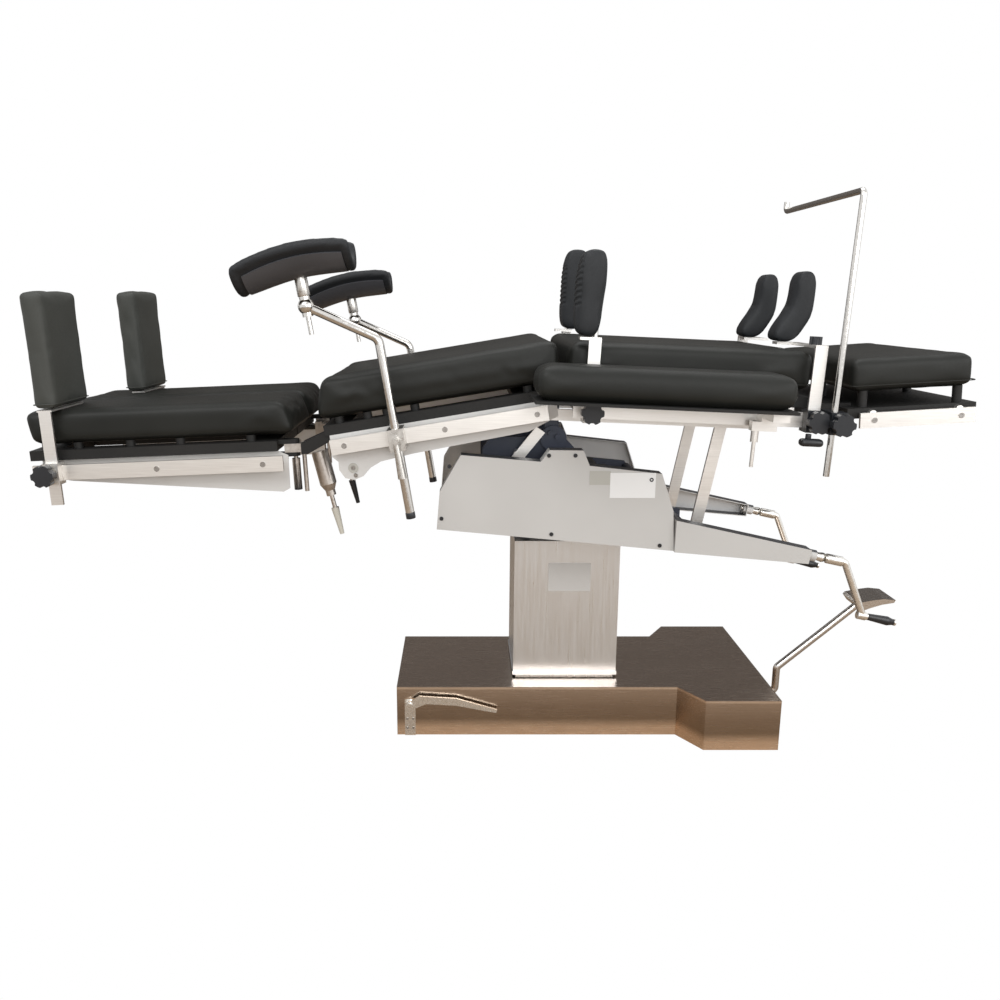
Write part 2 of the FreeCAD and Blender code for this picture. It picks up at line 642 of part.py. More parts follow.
def build_carriage():
    top_x, top_z = hinge_x, hinge_z
    neck, bed = top_z - 98, tilt_high + 116
    corners = [(-205, tilt_high - 54), (196, tilt_high - 74), (262, tilt_high - 146), (318, tilt_high - 146),
               (318, tilt_high - 110), (272, tilt_high - 98), (200, tilt_high - 44), (168, tilt_high + 18),
               (30, tilt_high + 32), (8, tilt_high + 90), (top_x + 15, neck), (top_x + 15, top_z + 4),
               (top_x + 8, top_z + 15), (top_x - 8, top_z + 15), (top_x - 15, top_z + 4), (top_x - 17, neck),
               (-80, bed), (-186, bed), (-205, bed - 26)]
    webs = mirrored_slab("carriage_web", corners, web_inner, web_inner + web_thick)
    pieces = list(webs)
    for name, x, z in (("foot", -172, tilt_high + 58), ("head", 172, tilt_high + 2), ("tail", 290, arm_root_z)):
        pieces.append(rod(f"cross_tube_{name}", "y", 11, (x, -web_inner, z), web_inner * 2))
    reach = web_inner + web_thick + 26
    pieces.append(rod("seat_hinge_shaft", "y", hinge_pin, (top_x, -reach, top_z), reach * 2))
    inside = cover_outer - steel_wall
    for word, side in SIDES:
        near, far = band(side, web_inner + web_thick, web_inner + web_thick + 8)
        pieces.append(rod(f"tilt_bracket_{word}", "y", 30, (-42, near, tilt_high + 113), 8))
        for number, (x, z) in enumerate(((-50, tilt_high + 127), (-33, tilt_high + 118))):
            start = far if side > 0 else near - 7
            pieces.append(rod(f"tilt_bolt_{number}_{word}", "y", 6, (x, start - 0.5, z), 8))
        start = band(side, web_inner + web_thick, inside)[0]
        for name, x, z in (("foot", -262, tilt_high), ("top", -20, tilt_high + 80), ("head", 150, tilt_high - 10)):
            if name != "foot":
                pieces.append(rod(f"cover_post_{name}_{word}", "y", 7, (x, start, z),
                                  inside - web_inner - web_thick))
        end = arm_outer - steel_wall
        start = band(side, web_inner + web_thick, end)[0]
        pieces.append(rod(f"arm_post_{word}", "y", 9, (290, start, arm_root_z), end - web_inner - web_thick))
        plate = slab(f"foot_bracket_{word}", "XZ_Plane", [(-262, tilt_high - 10), (-200, tilt_high - 10), (-200, tilt_high + 30), (-262, tilt_high + 30)],
                     *band(side, web_inner, web_inner + web_thick))
        pieces.append(plate)
        pieces.append(rod(f"cover_post_foot_{word}", "y", 7, (-250, band(side, web_inner, inside)[0], tilt_high + 10),
                          inside - web_inner))
    bore = rod("carriage_bore", "y", tilt_pin + run_fit, (0, -web_inner - web_thick - 5, tilt_high),
               (web_inner + web_thick + 5) * 2)
    node("carriage_frame", cut("carriage_frame", fuse("carriage_solid", pieces), [bore]))


def build_covers():
    rim = [(-309, -75), (-50, -99), (222, -125), (217, -33), (188, 51), (28, 69), (14, 103), (-60, 104),
           (-79, 78), (-255, 93), (-302, 10)]
    corners = [(x, tilt_high + z) for x, z in rim]
    shells = []
    for word, side in SIDES:
        inner, outer = cover_outer - cover_deep, cover_outer
        body = slab(f"cover_{word}", "XZ_Plane", corners, *band(side, inner, outer))
        edge = inner.value * side
        hollowed(body, steel_wall, lambda f, edge=edge: abs(f.CenterOfMass.y - edge) < 0.01)
        shells.append(body)
    node("side_covers", compound("side_covers", shells))


crank_slope = size("crank_slope", 12.5, "fall of the crank axes to the head end")
crank_x = size("crank_x", 552.0, "universal joint of a crank, along the table")
crank_drop = size("crank_drop", 141.0, "universal joint of a crank, under the tilt axes")
crank_z = derived("crank_z", tilt_high - crank_drop, "universal joint of a crank, height")
crank_inset = size("crank_inset", 19.0, "crank axes inside the crank arms' outer face")
crank_y = derived("crank_y", arm_outer - crank_inset, "crank axes, from the middle of the table")
crank_shaft = size("crank_shaft_radius", 7.0, "crank shaft in the arm's bush")
crank_tube = size("crank_tube_radius", 8.0, "crank tube")
crank_elbow = size("crank_elbow", 63.0, "universal joint to the crank's elbow")
crank_throw = size("crank_throw", 113.0, "crank axis to grip axis")
crank_reach = size("crank_reach", 141.0, "universal joint to the foot of the grip")
spindle_radius = size("spindle_radius", 5.0, "spindle of the crank grip")
grip_radius = size("grip_radius", 9.5, "crank grip")
grip_long = size("grip_long", 62.0, "crank grip")
bush_long = size("bush_long", 26.0, "bush at the end of a crank arm")


def build_arms():
    corners = [(222.4, arm_root_z - 8), (524, crank_z - 12), (529, crank_z + 20), (223.6, arm_root_z + 65)]
    arms = []
    for word, side in SIDES:
        inner, outer = arm_outer - arm_deep, arm_outer
        body = slab(f"arm_{word}", "XZ_Plane", corners, *band(side, inner, outer))
        edge = inner.value * side
        hollowed(body, steel_wall, lambda f, edge=edge: abs(f.CenterOfMass.y - edge) < 0.01)
        bush = rod(f"arm_bush_{word}", "x", 13, (-bush_long - 8, 0, 0), bush_long)
        bore = rod(f"arm_bore_{word}", "x", crank_shaft + run_fit, (-bush_long - 20, 0, 0), bush_long + 24)
        turned_bush = on_crank(f"arm_bush_turned_{word}", [bush], side)
        turned_bore = on_crank(f"arm_bore_turned_{word}", [bore], side)
        arms.append(cut(f"arm_{word}_bored", fuse(f"arm_{word}_solid", [body, turned_bush]), [turned_bore]))
    node("crank_arms", compound("crank_arms", arms))


def on_crank(name, pieces, side):
    """Pieces built along the crank axis, put at a crank's universal joint."""
    group = compound(name, pieces)
    place(group, crank_x, crank_y * side, crank_z, crank_slope, (0, 1, 0))
    return group


def build_struts():
    low_x, low_z = as_size(290), arm_root_z
    foot = strut_wide / 2
    top_x = as_size(341)
    bar_low = frame_low(top_x)
    corners = [(low_x - foot, low_z - 14), (low_x + foot, low_z - 14),
               (top_x + foot, frame_low(top_x + foot)), (top_x - foot, frame_low(top_x - foot))]
    inner = web_inner + web_thick
    bars = []
    for word, side in SIDES:
        bar = slab(f"strut_{word}", "XZ_Plane", corners, *band(side, inner, inner + strut_thick))
        hole = rod(f"strut_hole_{word}", "y", 9, (low_x, band(side, inner - 5, inner + 15)[0], low_z), 20)
        bars.append(cut(f"strut_{word}_bar", bar, [hole]))
        start = band(side, inner, inner + 28)[0]
        pin = rod(f"link_pin_{word}", "y", 8, (-126, start, tilt_high + 80), 28)
        link = slab(f"link_{word}", "XZ_Plane", [(-143, tilt_high + 70), (-120, tilt_high + 60), (-64, tilt_high + 130), (-84, tilt_high + 144)],
                    *band(side, inner + 24, inner + 32))
        bars.append(fuse(f"link_{word}_whole", [pin, link]))
    node("struts", compound("struts", bars))


support_low = size("support_low", -57.0, "underside of the support frame, in the back section's frame")
support_tall = size("support_tall", 26.0, "support frame bars")
support_thick = size("support_thick", 12.0, "support frame bars, across the table")
support_end = derived("support_end", back_board_right - 41, "head end of the support frame")


def frame_low(x):
    """Height of the support frame's underside at a place along the table."""
    run = (as_size(x) - back_x - support_low * sine(back_slope)) / cosine(back_slope)
    return back_z - run * sine(back_slope) + support_low * cosine(back_slope)


def build_support_frame():
    low, high = support_low, support_low + support_tall
    inner = web_inner + web_thick
    pieces = []
    for word, side in SIDES:
        across = band(side, inner, inner + support_thick)
        pieces.append(box(f"support_bar_{word}", (-16, support_end), across, (low, high)))
        for number, x in enumerate((90, 430)):
            centre = (across[0] + across[1]) / 2
            pieces.append(rod(f"support_rest_{word}_{number}", "z", 6, (x, centre, high - 1),
                              board_lift - high + 1 - touch))
    for number, x in enumerate((70, 300, 470)):
        pieces.append(box(f"support_cross_{number}", (x, x + 26), (-inner - 1, inner + 1), (low + 6, low + 20)))
    return on_back("support_frame", fuse("support_frame", pieces))


# Cranks and their grips



def crank_parts(word):
    """A crank along the x axis, with the universal joint at the origin."""
    shaft = rod(f"crank_shaft_{word}", "x", crank_shaft, (-bush_long - 12, 0, 0), bush_long + 20)
    yoke = cone(f"crank_yoke_{word}", "x", 9, 11, (-6, 0, 0), 14)
    ball = doc.addObject("Part::Sphere", f"crank_ball_{word}")
    bind(ball, "Radius", 11)
    place(ball, 8, 0, 0)
    tube = bent_rod(f"crank_tube_{word}", crank_tube,
                    [(4, 0, 0), (crank_elbow, 0, 0), (crank_reach, 0, -crank_throw),
                     (crank_reach + 10, 0, -crank_throw)], 9)
    spindle = rod(f"crank_spindle_{word}", "x", spindle_radius, (crank_reach + 5, 0, -crank_throw), grip_long + 12)
    cap = rod(f"crank_cap_{word}", "x", spindle_radius + 2.5,
              (crank_reach + grip_long + 12, 0, -crank_throw), 4)
    return fuse(f"crank_{word}_solid", [shaft, yoke, ball, tube, spindle, cap])


def grip_parts(word):
    """A turned grip on the crank's spindle."""
    start = crank_reach + 11
    body = cone(f"grip_body_{word}", "x", grip_radius - 2, grip_radius + 1, (start, 0, -crank_throw), grip_long - 14)
    end = cone(f"grip_end_{word}", "x", grip_radius + 1, grip_radius - 3,
               (start + grip_long - 14, 0, -crank_throw), 14)
    bore = rod(f"grip_bore_{word}", "x", spindle_radius + run_fit, (start - 5, 0, -crank_throw), grip_long + 10)
    return cut(f"grip_{word}_solid", fuse(f"grip_{word}_outer", [body, end]), [bore])


def build_cranks():
    for word, side in SIDES:
        for label, solid in ((f"crank_{word}", crank_parts(word)), (f"crank_grip_{word}", grip_parts(word))):
            node(label, on_crank(label, [solid], side))


# Boards, cushions and rails of the sections

def cushion(name, x, y, z):
    """A cushion: a block with all its edges rounded."""
    body = slab(name, "XY_Plane", [(x[0], y[0]), (x[1], y[0]), (x[1], y[1]), (x[0], y[1])], z[0], z[1])
    return rounded(body, pad_round, lambda edge: True)


def pegs(name, places, across, low, high):
    """Round spacers between a board and its cushion."""
    return [rod(f"{name}_{number}_{row}", "z", peg_radius, (x, y, low), as_size(high) - low - touch)
            for number, x in enumerate(places) for row, y in enumerate(across)]


PAD_LOW = board_lift + board_thick + tray_gap


def rail_pair(name, x, standoffs, inner, screws_z):
    """Both rails of a section, with the spacers behind them."""
    rails = []
    for word, side in SIDES:
        bar = box(f"{name}_{word}_bar", x, band(side, rail_inner, rail_inner + rail_thick), (-rail_tall, 0))
        start = band(side, inner, rail_inner)[0]
        backs = [rod(f"{name}_{word}_standoff_{n}", "y", standoff_radius, (at, start, screws_z), rail_inner - inner)
                 for n, at in enumerate(standoffs)]
        rails.append(fuse(f"{name}_{word}", [bar] + backs))
    return rails


def build_seat():
    x = (seat_board_left, seat_board_right)
    high = board_lift + board_thick
    start = seat_board_left
    plate = box("seat_board_plate", x, (-board_half, board_half), (board_lift, high))
    window = box("seat_board_window", (seat_board_left + frame_bar + 18, seat_board_right - frame_bar - 18),
                 (-board_half + frame_bar, board_half - frame_bar), (board_lift - 1, high + 1))
    board = cut("seat_board_frame", plate, [window])
    rows = (-board_half + 22, board_half - 22)
    spacers = pegs("seat_peg", (start + 34, start + 97, start + 140, start + 202, -60), rows, high - 1, PAD_LOW)
    spacers += pegs("seat_peg_middle", (start + 34, -60), (0,), high - 1, PAD_LOW)
    pin_x, pin_z = in_frame(hinge_x, hinge_z, seat_x, seat_z, seat_slope)
    fold = out_of_frame(fold_x, fold_z, leg_x, leg_z, leg_slope)
    leg_x_here, leg_z_here = in_frame(fold[0], fold[1], seat_x, seat_z, seat_slope)
    pieces = [board] + spacers
    holes = []
    outer = web_inner + web_thick + support_thick + 2
    for word, side in SIDES:
        across = band(side, outer, outer + knuckle_thick)
        pieces.append(rod(f"seat_knuckle_{word}", "y", knuckle, (pin_x, across[0], pin_z), knuckle_thick))
        pieces.append(box(f"seat_tongue_{word}", (pin_x - 60, pin_x), across, (pin_z - 12, high)))
        inner_face, outer_face = leg_pivot_y - leg_block_half - 0.5, leg_pivot_y + leg_block_half + 0.5
        for name, near, far in (("inner", inner_face - 13.5, inner_face), ("outer", outer_face, outer_face + 13.5)):
            ear = slab(f"leg_ear_{name}_{word}", "XZ_Plane",
                       [(leg_x_here - 9, leg_z_here - 11), (leg_x_here + 6, leg_z_here - 13),
                        (seat_board_left + 46, board_lift + 0.5), (seat_board_left, board_lift + 8),
                        (leg_x_here - 6, leg_z_here + 12)], *band(side, near, far))
            pieces.append(ear)
        pin_start = band(side, inner_face - 13.5, outer_face + 13.5)[0]
        pieces.append(rod(f"fold_pin_{word}", "y", leg_pin, (leg_x_here, pin_start, leg_z_here),
                          leg_block_half * 2 + 28))
        holes.append(rod(f"seat_bore_{word}", "y", hinge_pin + run_fit, (pin_x, across[0] - 1, pin_z),
                         knuckle_thick + 2))
    on_seat("seat_board", cut("seat_board", fuse("seat_board_solid", pieces), holes))
    top = PAD_LOW + seat_pad_thick
    pad = slab("seat_pad", "XZ_Plane", [(seat_pad_left, PAD_LOW), (seat_pad_right, PAD_LOW),
                                        (seat_pad_right + seat_bevel_right, top),
                                        (seat_pad_left + seat_bevel_left, top)], -pad_half, pad_half)
    on_seat("seat_pad", rounded(pad, pad_round, lambda edge: True))
    low = [(start + x, z) for x, z in ((10, board_lift), (7, -40), (18, -52), (16, -70), (26, -90), (46, -97),
                                       (66, -92), (85, -76), (110, -66), (184, -60))]
    low += [(-72, -53), (-4, -30), (-4, board_lift)]
    narrow = [(start + 10, board_lift), (start + 7, -rail_tall), (-4, -30), (-4, board_lift)]
    plates = [slab(f"seat_side_plate_{word}", "XZ_Plane", low if side < 0 else narrow,
                   *band(side, board_half - plate_wall, board_half)) for word, side in SIDES]
    on_seat("seat_side_plates", compound("seat_side_plates", plates))
    on_seat("seat_rails", compound("seat_rails", rail_pair("seat_rail", (start + 10, -26), (start + 40, -250, -50),
                                                             board_half, -rail_tall / 2)))


def arm_clamp():
    """The arm board's clamp, with its hanging lever, as pieces of the near back rail."""
    body = rail_clamp("arm_clamp", -1, arm_pivot_x, rail_face + 35, 0)
    lever_y = -rail_face - 27
    tongue = box("arm_clamp_tongue", (arm_pivot_x - 17, arm_pivot_x + 17),
                 (-arm_pivot_y - 17, -rail_face - 25), (-12, 7))
    pin = rod("arm_clamp_pin", "z", 8, (arm_pivot_x, -arm_pivot_y, 5), 9)
    lever = rod("arm_clamp_lever", "z", 4, (arm_pivot_x - 26, lever_y, -118), 84)
    knuckle_joint = rod("arm_clamp_knuckle", "z", 8, (arm_pivot_x - 26, lever_y, -64), 26)
    link = box("arm_clamp_link", (arm_pivot_x - 36, arm_pivot_x - 10), (lever_y - 8, lever_y + 12), (-40, -20))
    return body + [tongue, pin, lever, knuckle_joint, link]


def build_back():
    x = (back_board_left, back_board_right)
    high = board_lift + board_thick
    board = box("back_board_plate", x, (-board_half, board_half), (board_lift, high))
    rows = (-board_half + 22, 0, board_half - 22)
    spacers = pegs("back_peg", (70, 220, 370, 505), rows, high - 1, PAD_LOW)
    pin_x, pin_z = in_frame(hinge_x, hinge_z, back_x, back_z, back_slope, False)
    pieces = [board] + spacers
    bores = []
    for word, side in SIDES:
        across = band(side, web_inner - 1 - knuckle_thick, web_inner - 1)
        pieces.append(rod(f"back_knuckle_{word}", "y", knuckle, (pin_x, across[0], pin_z), knuckle_thick))
        pieces.append(box(f"back_tongue_{word}", (pin_x, back_board_left + 30), across, (pin_z - 12, high)))
        bores.append(rod(f"back_bore_{word}", "y", hinge_pin + run_fit, (pin_x, across[0] - 1, pin_z),
                         knuckle_thick + 2))
    head = out_of_frame(head_hinge_x, head_hinge_z, head_x, head_z, head_slope)
    head_x_here, head_z_here = in_frame(head[0], head[1], back_x, back_z, back_slope, False)
    for word, side in SIDES:
        for name, near in (("inner", head_hinge_y - 17), ("outer", head_hinge_y + 7)):
            across = band(side, near, near + 10)
            pieces.append(box(f"head_ear_{name}_{word}", (back_board_right - 40, head_x_here), across,
                              (head_z_here - 9, board_lift + 0.5)))
            pieces.append(rod(f"head_ear_round_{name}_{word}", "y", 12, (head_x_here, across[0], head_z_here), 10))
        start = band(side, head_hinge_y - 17, head_hinge_y + 17)[0]
        pieces.append(rod(f"head_pin_{word}", "y", 6, (head_x_here, start, head_z_here), 34))
    on_back("back_board", cut("back_board", fuse("back_board_solid", pieces), bores))
    on_back("back_pad", cushion("back_pad", (back_pad_left, back_pad_right), (-pad_half, pad_half),
                                (PAD_LOW, PAD_LOW + back_pad_thick)))
    rails = []
    for word, side in SIDES:
        bar = box(f"back_rail_{word}_bar", (30, back_board_right + 42), band(side, rail_inner, rail_inner + rail_thick),
                  (-rail_tall, 0))
        brackets = []
        for number, at in enumerate((110, 300, 480)):
            hook = band(side, board_half - 30, rail_inner)
            brackets.append(box(f"back_rail_{word}_foot_{number}", (at, at + 24), hook, (board_lift - 6, board_lift)))
            brackets.append(box(f"back_rail_{word}_leg_{number}", (at, at + 24), band(side, rail_inner - 6, rail_inner),
                                (-26, board_lift)))
        held = arm_clamp() if side < 0 else []
        rails.append(fuse(f"back_rail_{word}", [bar] + brackets + held))
    on_back("back_rails", compound("back_rails", rails))


def build_head():
    x = (head_board_left, head_board_right)
    low, high = head_board_low, head_board_low + board_thick
    board = box("head_board_plate", x, (-board_half, board_half), (low, high))
    rows = (-board_half + 22, 0, board_half - 22)
    spacers = pegs("head_peg", (20, 225), rows, high - 1, head_pad_low)
    pieces = [board] + spacers
    bores = []
    for word, side in SIDES:
        across = band(side, head_hinge_y - 6, head_hinge_y + 6)
        pieces.append(rod(f"head_knuckle_{word}", "y", 12, (head_hinge_x, across[0], head_hinge_z), 12))
        pieces.append(box(f"head_tongue_{word}", (head_hinge_x, head_board_left + 30), across,
                          (head_hinge_z - 9, head_hinge_z + 9)))
        bores.append(rod(f"head_bore_{word}", "y", 6 + run_fit, (head_hinge_x, across[0] - 1, head_hinge_z), 14))
    on_head("head_board", cut("head_board", fuse("head_board_solid", pieces), bores))
    on_head("head_pad", cushion("head_pad", (head_pad_left, head_pad_right), (-pad_half, pad_half),
                                (head_pad_low, head_pad_low + head_pad_thick)))
    on_head("head_rails", compound("head_rails", rail_pair("head_rail", (0, 245), (30, 215), board_half, -4)))


def build_leg(word, side):
    high = board_lift + board_thick
    plate = box(f"leg_board_{word}_plate", (leg_board_left, 0), band(side, leg_split + 1, board_half),
                (board_lift, high))
    window = box(f"leg_board_{word}_window", (leg_board_left + frame_bar + 18, -frame_bar - 34),
                 band(side, leg_split + frame_bar, board_half - frame_bar), (board_lift - 1, high + 1))
    board = cut(f"leg_board_{word}_frame", plate, [window])
    rows = [y * side for y in (24, 223)]
    spacers = pegs(f"leg_peg_{word}", (leg_board_left + 30, -440, -325, -215, -60), rows, high - 1, PAD_LOW)
    spacers += pegs(f"leg_peg_middle_{word}", (leg_board_left + 30, -60), [124 * side], high - 1, PAD_LOW)
    block_low, block_high = fold_z - 9.5, fold_z + 9.5
    across = band(side, leg_pivot_y - leg_block_half, leg_pivot_y + leg_block_half)
    ear_top = (block_high + 0.4, high)
    ear_low = (block_low - 9, block_low - 0.4)
    pieces = [board] + spacers
    for name, span in (("upper", ear_top), ("lower", ear_low)):
        pieces.append(box(f"swing_ear_{name}_{word}", (-40, swing_x), across, span))
        pieces.append(rod(f"swing_ear_round_{name}_{word}", "z", 12, (swing_x, leg_pivot_y * side, span[0]),
                          span[1] - span[0]))
    pieces.append(box(f"swing_web_{word}", (-40, -12), across, (ear_low[0], board_lift + 1)))
    pieces.append(rod(f"swing_pin_{word}", "z", leg_pin, (swing_x, leg_pivot_y * side, ear_low[0]),
                      high - ear_low[0]))
    on_leg(f"leg_board_{word}", fuse(f"leg_board_{word}", pieces))
    block = box(f"leg_hinge_{word}_block", (swing_x - 20, fold_x), across, (block_low, block_high))
    barrel = rod(f"leg_hinge_{word}_barrel", "y", leg_barrel, (fold_x, across[0], fold_z), leg_block_half * 2)
    swing_bore = rod(f"leg_hinge_{word}_swing", "z", leg_pin + run_fit,
                     (swing_x, leg_pivot_y * side, block_low - 1), 21)
    fold_bore = rod(f"leg_hinge_{word}_fold", "y", leg_pin + run_fit, (fold_x, across[0] - 1, fold_z),
                    leg_block_half * 2 + 2)
    lock_y = leg_pivot_y - 54
    cross = box(f"leg_lock_{word}_cross", (18, 36), band(side, lock_y - 10, leg_pivot_y - leg_block_half + 1), (3, 18))
    arm = box(f"leg_lock_{word}_arm", (18, 92), band(side, lock_y - 11, lock_y + 11), (-14, 12))
    lock = fuse(f"leg_lock_{word}_stack", [
        rod(f"leg_lock_{word}_body", "z", 19, (0, 0, -84), 78),
        cone(f"leg_lock_{word}_shoulder", "z", 11, 19, (0, 0, -100), 16),
        rod(f"leg_lock_{word}_neck", "z", 11, (0, 0, -112), 13),
        rod(f"leg_lock_{word}_rod", "z", 5, (0, 0, -146), 36),
        cone(f"leg_lock_{word}_grip", "z", 5, 9, (0, 0, -206), 64)])
    place(lock, 76, lock_y * side, -2, -leg_lock_lean, (0, 1, 0))
    lever = rod(f"leg_lever_{word}", "z", 5, (46, (lock_y + 19) * side, -96), 100)
    pin = rod(f"leg_knob_{word}", "z", 9, (26, (lock_y + 16) * side, -92), 72)
    stalk = rod(f"leg_stalk_{word}", "z", 5, (26, (lock_y + 16) * side, -30), 40)
    foot = box(f"leg_lever_{word}_foot", (18, 56), band(side, lock_y + 8, lock_y + 25), (-6, 4))
    solid = fuse(f"leg_hinge_{word}_solid", [block, barrel, cross, arm, lock, lever, pin, stalk, foot])
    on_leg(f"leg_hinge_{word}", cut(f"leg_hinge_{word}", solid, [swing_bore, fold_bore]))
    on_leg(f"leg_pad_{word}", cushion(f"leg_pad_{word}", (leg_pad_left, leg_pad_right),
                                      band(side, leg_split, pad_half), (PAD_LOW, PAD_LOW + leg_pad_thick)))
    start = leg_board_left + 20
    corners = [(start, board_lift), (start, -30), (start + 61, -41), (4, -85), (18, -78), (20, board_lift - 12),
               (-4, board_lift)]
    if side > 0:
        corners[1:4] = [(start, -rail_tall), (-70, -rail_tall), (4, -70)]
        corners[4] = (18, -62)
    on_leg(f"leg_side_plate_{word}", slab(f"leg_side_plate_{word}", "XZ_Plane", corners,
                                          *band(side, leg_plate_outer - plate_wall, leg_plate_outer)))
    bar = box(f"leg_rail_{word}_bar", (leg_board_left + 11, 14), band(side, rail_inner, rail_inner + rail_thick), (-rail_tall, 0))
    face = band(side, leg_plate_outer, rail_inner)[0]
    backs = [rod(f"leg_rail_{word}_standoff_{n}", "y", standoff_radius, (at, face, -rail_tall / 2),
                 rail_inner - leg_plate_outer) for n, at in enumerate((leg_board_left + 40, -260, -30))]
    on_leg(f"leg_rail_{word}", fuse(f"leg_rail_{word}", [bar] + backs))


# Rail clamps and knobs

def star_knob(name, along, centre, radius, thick):
    """A six-lobed knob with its face across an axis."""
    blank = rod(f"{name}_blank", along, radius, centre, thick)
    flutes = []
    for number in range(6):
        angle = 30 + 60 * number
        reach = as_size(radius) * 1.12
        first, second = reach * math.cos(math.radians(angle)), reach * math.sin(math.radians(angle))
        shift = {"x": (0, first, second), "y": (first, 0, second), "z": (first, second, 0)}[along]
        start = [as_size(c) + s - (1 if axis == along else 0) for c, s, axis in zip(centre, shift, "xyz")]
        flutes.append(rod(f"{name}_flute_{number}", along, as_size(radius) * 0.3, start, as_size(thick) + 2))
    return cut(name, blank, flutes)


def rail_clamp(name, side, x, reach, gap):
    """A clamp that hooks over a rail's two edges and stands out from it."""
    half = clamp_wide / 2
    face = rail_inner + rail_thick + gap
    block = box(f"{name}_block", (x - half, x + half), band(side, face, reach), (-rail_tall - 7, 7))
    top = box(f"{name}_top", (x - half, x + half), band(side, rail_inner - 4, reach), (as_size(gap), 7))
    low = box(f"{name}_low", (x - half, x + half), band(side, rail_inner - 4, reach),
              (-rail_tall - 7, -rail_tall - gap))
    return [block, top, low]


def strap_slot(name, side, x, gap):
    """The upright slot of a clamp in which a flat post slides."""
    half = strap_wide / 2 + gap
    return box(name, (x - half, x + half), band(side, strap_inner - gap, strap_inner + strap_thick + gap),
               (-rail_tall - 30, 30))


lateral_x = size("lateral_x", 66.0, "lateral supports, in the back section's frame")
shoulder_back = size("shoulder_back", 5.0, "shoulder supports from the back board's end")
shoulder_x = derived("shoulder_x", back_board_right - shoulder_back, "shoulder supports")
screen_reach = size("screen_reach", 27.5, "screen rod past the back board's end")
screen_x = derived("screen_x", back_board_right + screen_reach, "screen rod, in the back section's frame")
arm_pivot_x = size("arm_pivot_x", 440.0, "arm board pivot, in the back section's frame")
arm_pivot_reach = size("arm_pivot_reach", 87.0, "arm board pivot, from the rail's face")
arm_pivot_y = derived("arm_pivot_y", rail_face + arm_pivot_reach, "arm board pivot, from the middle of the table")
arm_board_half = size("arm_board_half", 67.0, "half width of the arm board")
arm_board_shift = size("arm_board_shift", 1.0, "arm board's middle line, outside its pivot")
crutch_near_x = size("crutch_near_x", -352.0, "near leg support, in the seat section's frame")
crutch_far_x = size("crutch_far_x", -331.0, "far leg support, in the seat section's frame")
crutch_far_drop = size("crutch_far_drop", 45.0, "far leg support, lower than the near one")


def build_seat_clamps():
    clamps = []
    for (word, side), x in zip(SIDES, (crutch_near_x, crutch_far_x)):
        body = rail_clamp(f"crutch_clamp_{word}", side, x, post_y + 16, 0)
        solid = fuse(f"crutch_clamp_{word}_solid", body)
        bore = rod(f"crutch_clamp_{word}_bore", "z", post_radius + run_fit, (x, post_y * side, -rail_tall - 20), 80)
        bored = cut(f"crutch_clamp_{word}_bored", solid, [bore])
        start = band(side, post_y + 15, post_y + 40)[0]
        screw = rod(f"crutch_screw_{word}", "y", 7, (x, start, -rail_tall / 2), 25)
        stem = cone(f"crutch_lever_{word}", "z", 9, 6,
                    (x, (post_y + 33) * side, -rail_tall / 2 - 78), 84)
        clamps.append(fuse(f"crutch_clamp_{word}_whole", [bored, screw, stem]))
    on_seat("seat_clamps", compound("seat_clamps", clamps))


def build_back_clamps():
    clamps = []
    for word, side in SIDES:
        for name, x in (("lateral", lateral_x), ("shoulder", shoulder_x)):
            body = rail_clamp(f"{name}_clamp_{word}", side, x - (3 if name == "shoulder" else 0),
                              rail_face + 27, 0)
            solid = cut(f"{name}_clamp_{word}_slotted", fuse(f"{name}_clamp_{word}_solid", body),
                        [strap_slot(f"{name}_slot_{word}", side, x, touch)])
            knob_y = band(side, rail_face + 31, rail_face + 31 + knob_thick)[0]
            screw = rod(f"{name}_screw_{word}", "y", 6,
                        (x, band(side, rail_face + 15, rail_face + 33)[0], -rail_tall / 2), 18)
            knob = star_knob(f"{name}_knob_{word}", "y", (x, knob_y, -rail_tall / 2), knob_radius, knob_thick)
            clamps.append(fuse(f"{name}_clamp_{word}_whole", [solid, screw, knob]))
    body = rail_clamp("screen_clamp", -1, screen_x + 7, post_y + 14, 0)
    trimmed = box("screen_clamp_trim", (0, shoulder_x + 15), (-400, 0), (-80, 80))
    bore = rod("screen_clamp_bore", "z", screen_radius + run_fit, (screen_x, -post_y, -80), 160)
    solid = cut("screen_clamp_cut", fuse("screen_clamp_solid", body), [trimmed, bore])
    screw = rod("screen_screw", "y", 6, (screen_x + 8, -post_y - 24, -rail_tall / 2), 12)
    knob = star_knob("screen_knob", "y", (screen_x + 8, -post_y - 22 - knob_thick, -rail_tall / 2),
                     knob_radius, knob_thick)
    clamps.append(fuse("screen_clamp_whole", [solid, screw, knob]))
    on_back("back_clamps", compound("back_clamps", clamps))


# Arm board on the near side, parallel to the back section

def build_arm_board():
    x = (arm_pivot_x - 504, arm_pivot_x + 17)
    middle = -arm_pivot_y - arm_board_shift
    y = (middle - arm_board_half, middle + arm_board_half)
    plate_low, plate_high = as_size(9), as_size(15)
    plate = box("arm_board_sheet", x, y, (plate_low, plate_high))
    boss = rod("arm_board_boss", "z", 20, (arm_pivot_x, -arm_pivot_y, 7 + touch), 4)
    bore = rod("arm_board_bore", "z", 8 + run_fit, (arm_pivot_x, -arm_pivot_y, 0), 14.5)
    on_back("arm_board_plate", cut("arm_board_plate", fuse("arm_board_plate_solid", [plate, boss]), [bore]))
    pad = slab("arm_board_pad", "XY_Plane", [(x[0] - 3, y[0]), (x[1] + 3, y[0]), (x[1] + 3, y[1]), (x[0] - 3, y[1])],
               plate_high, plate_high + 70)
    on_back("arm_board_pad", rounded(pad, pad_round, lambda edge: True))


# Lateral supports, shoulder supports and screen

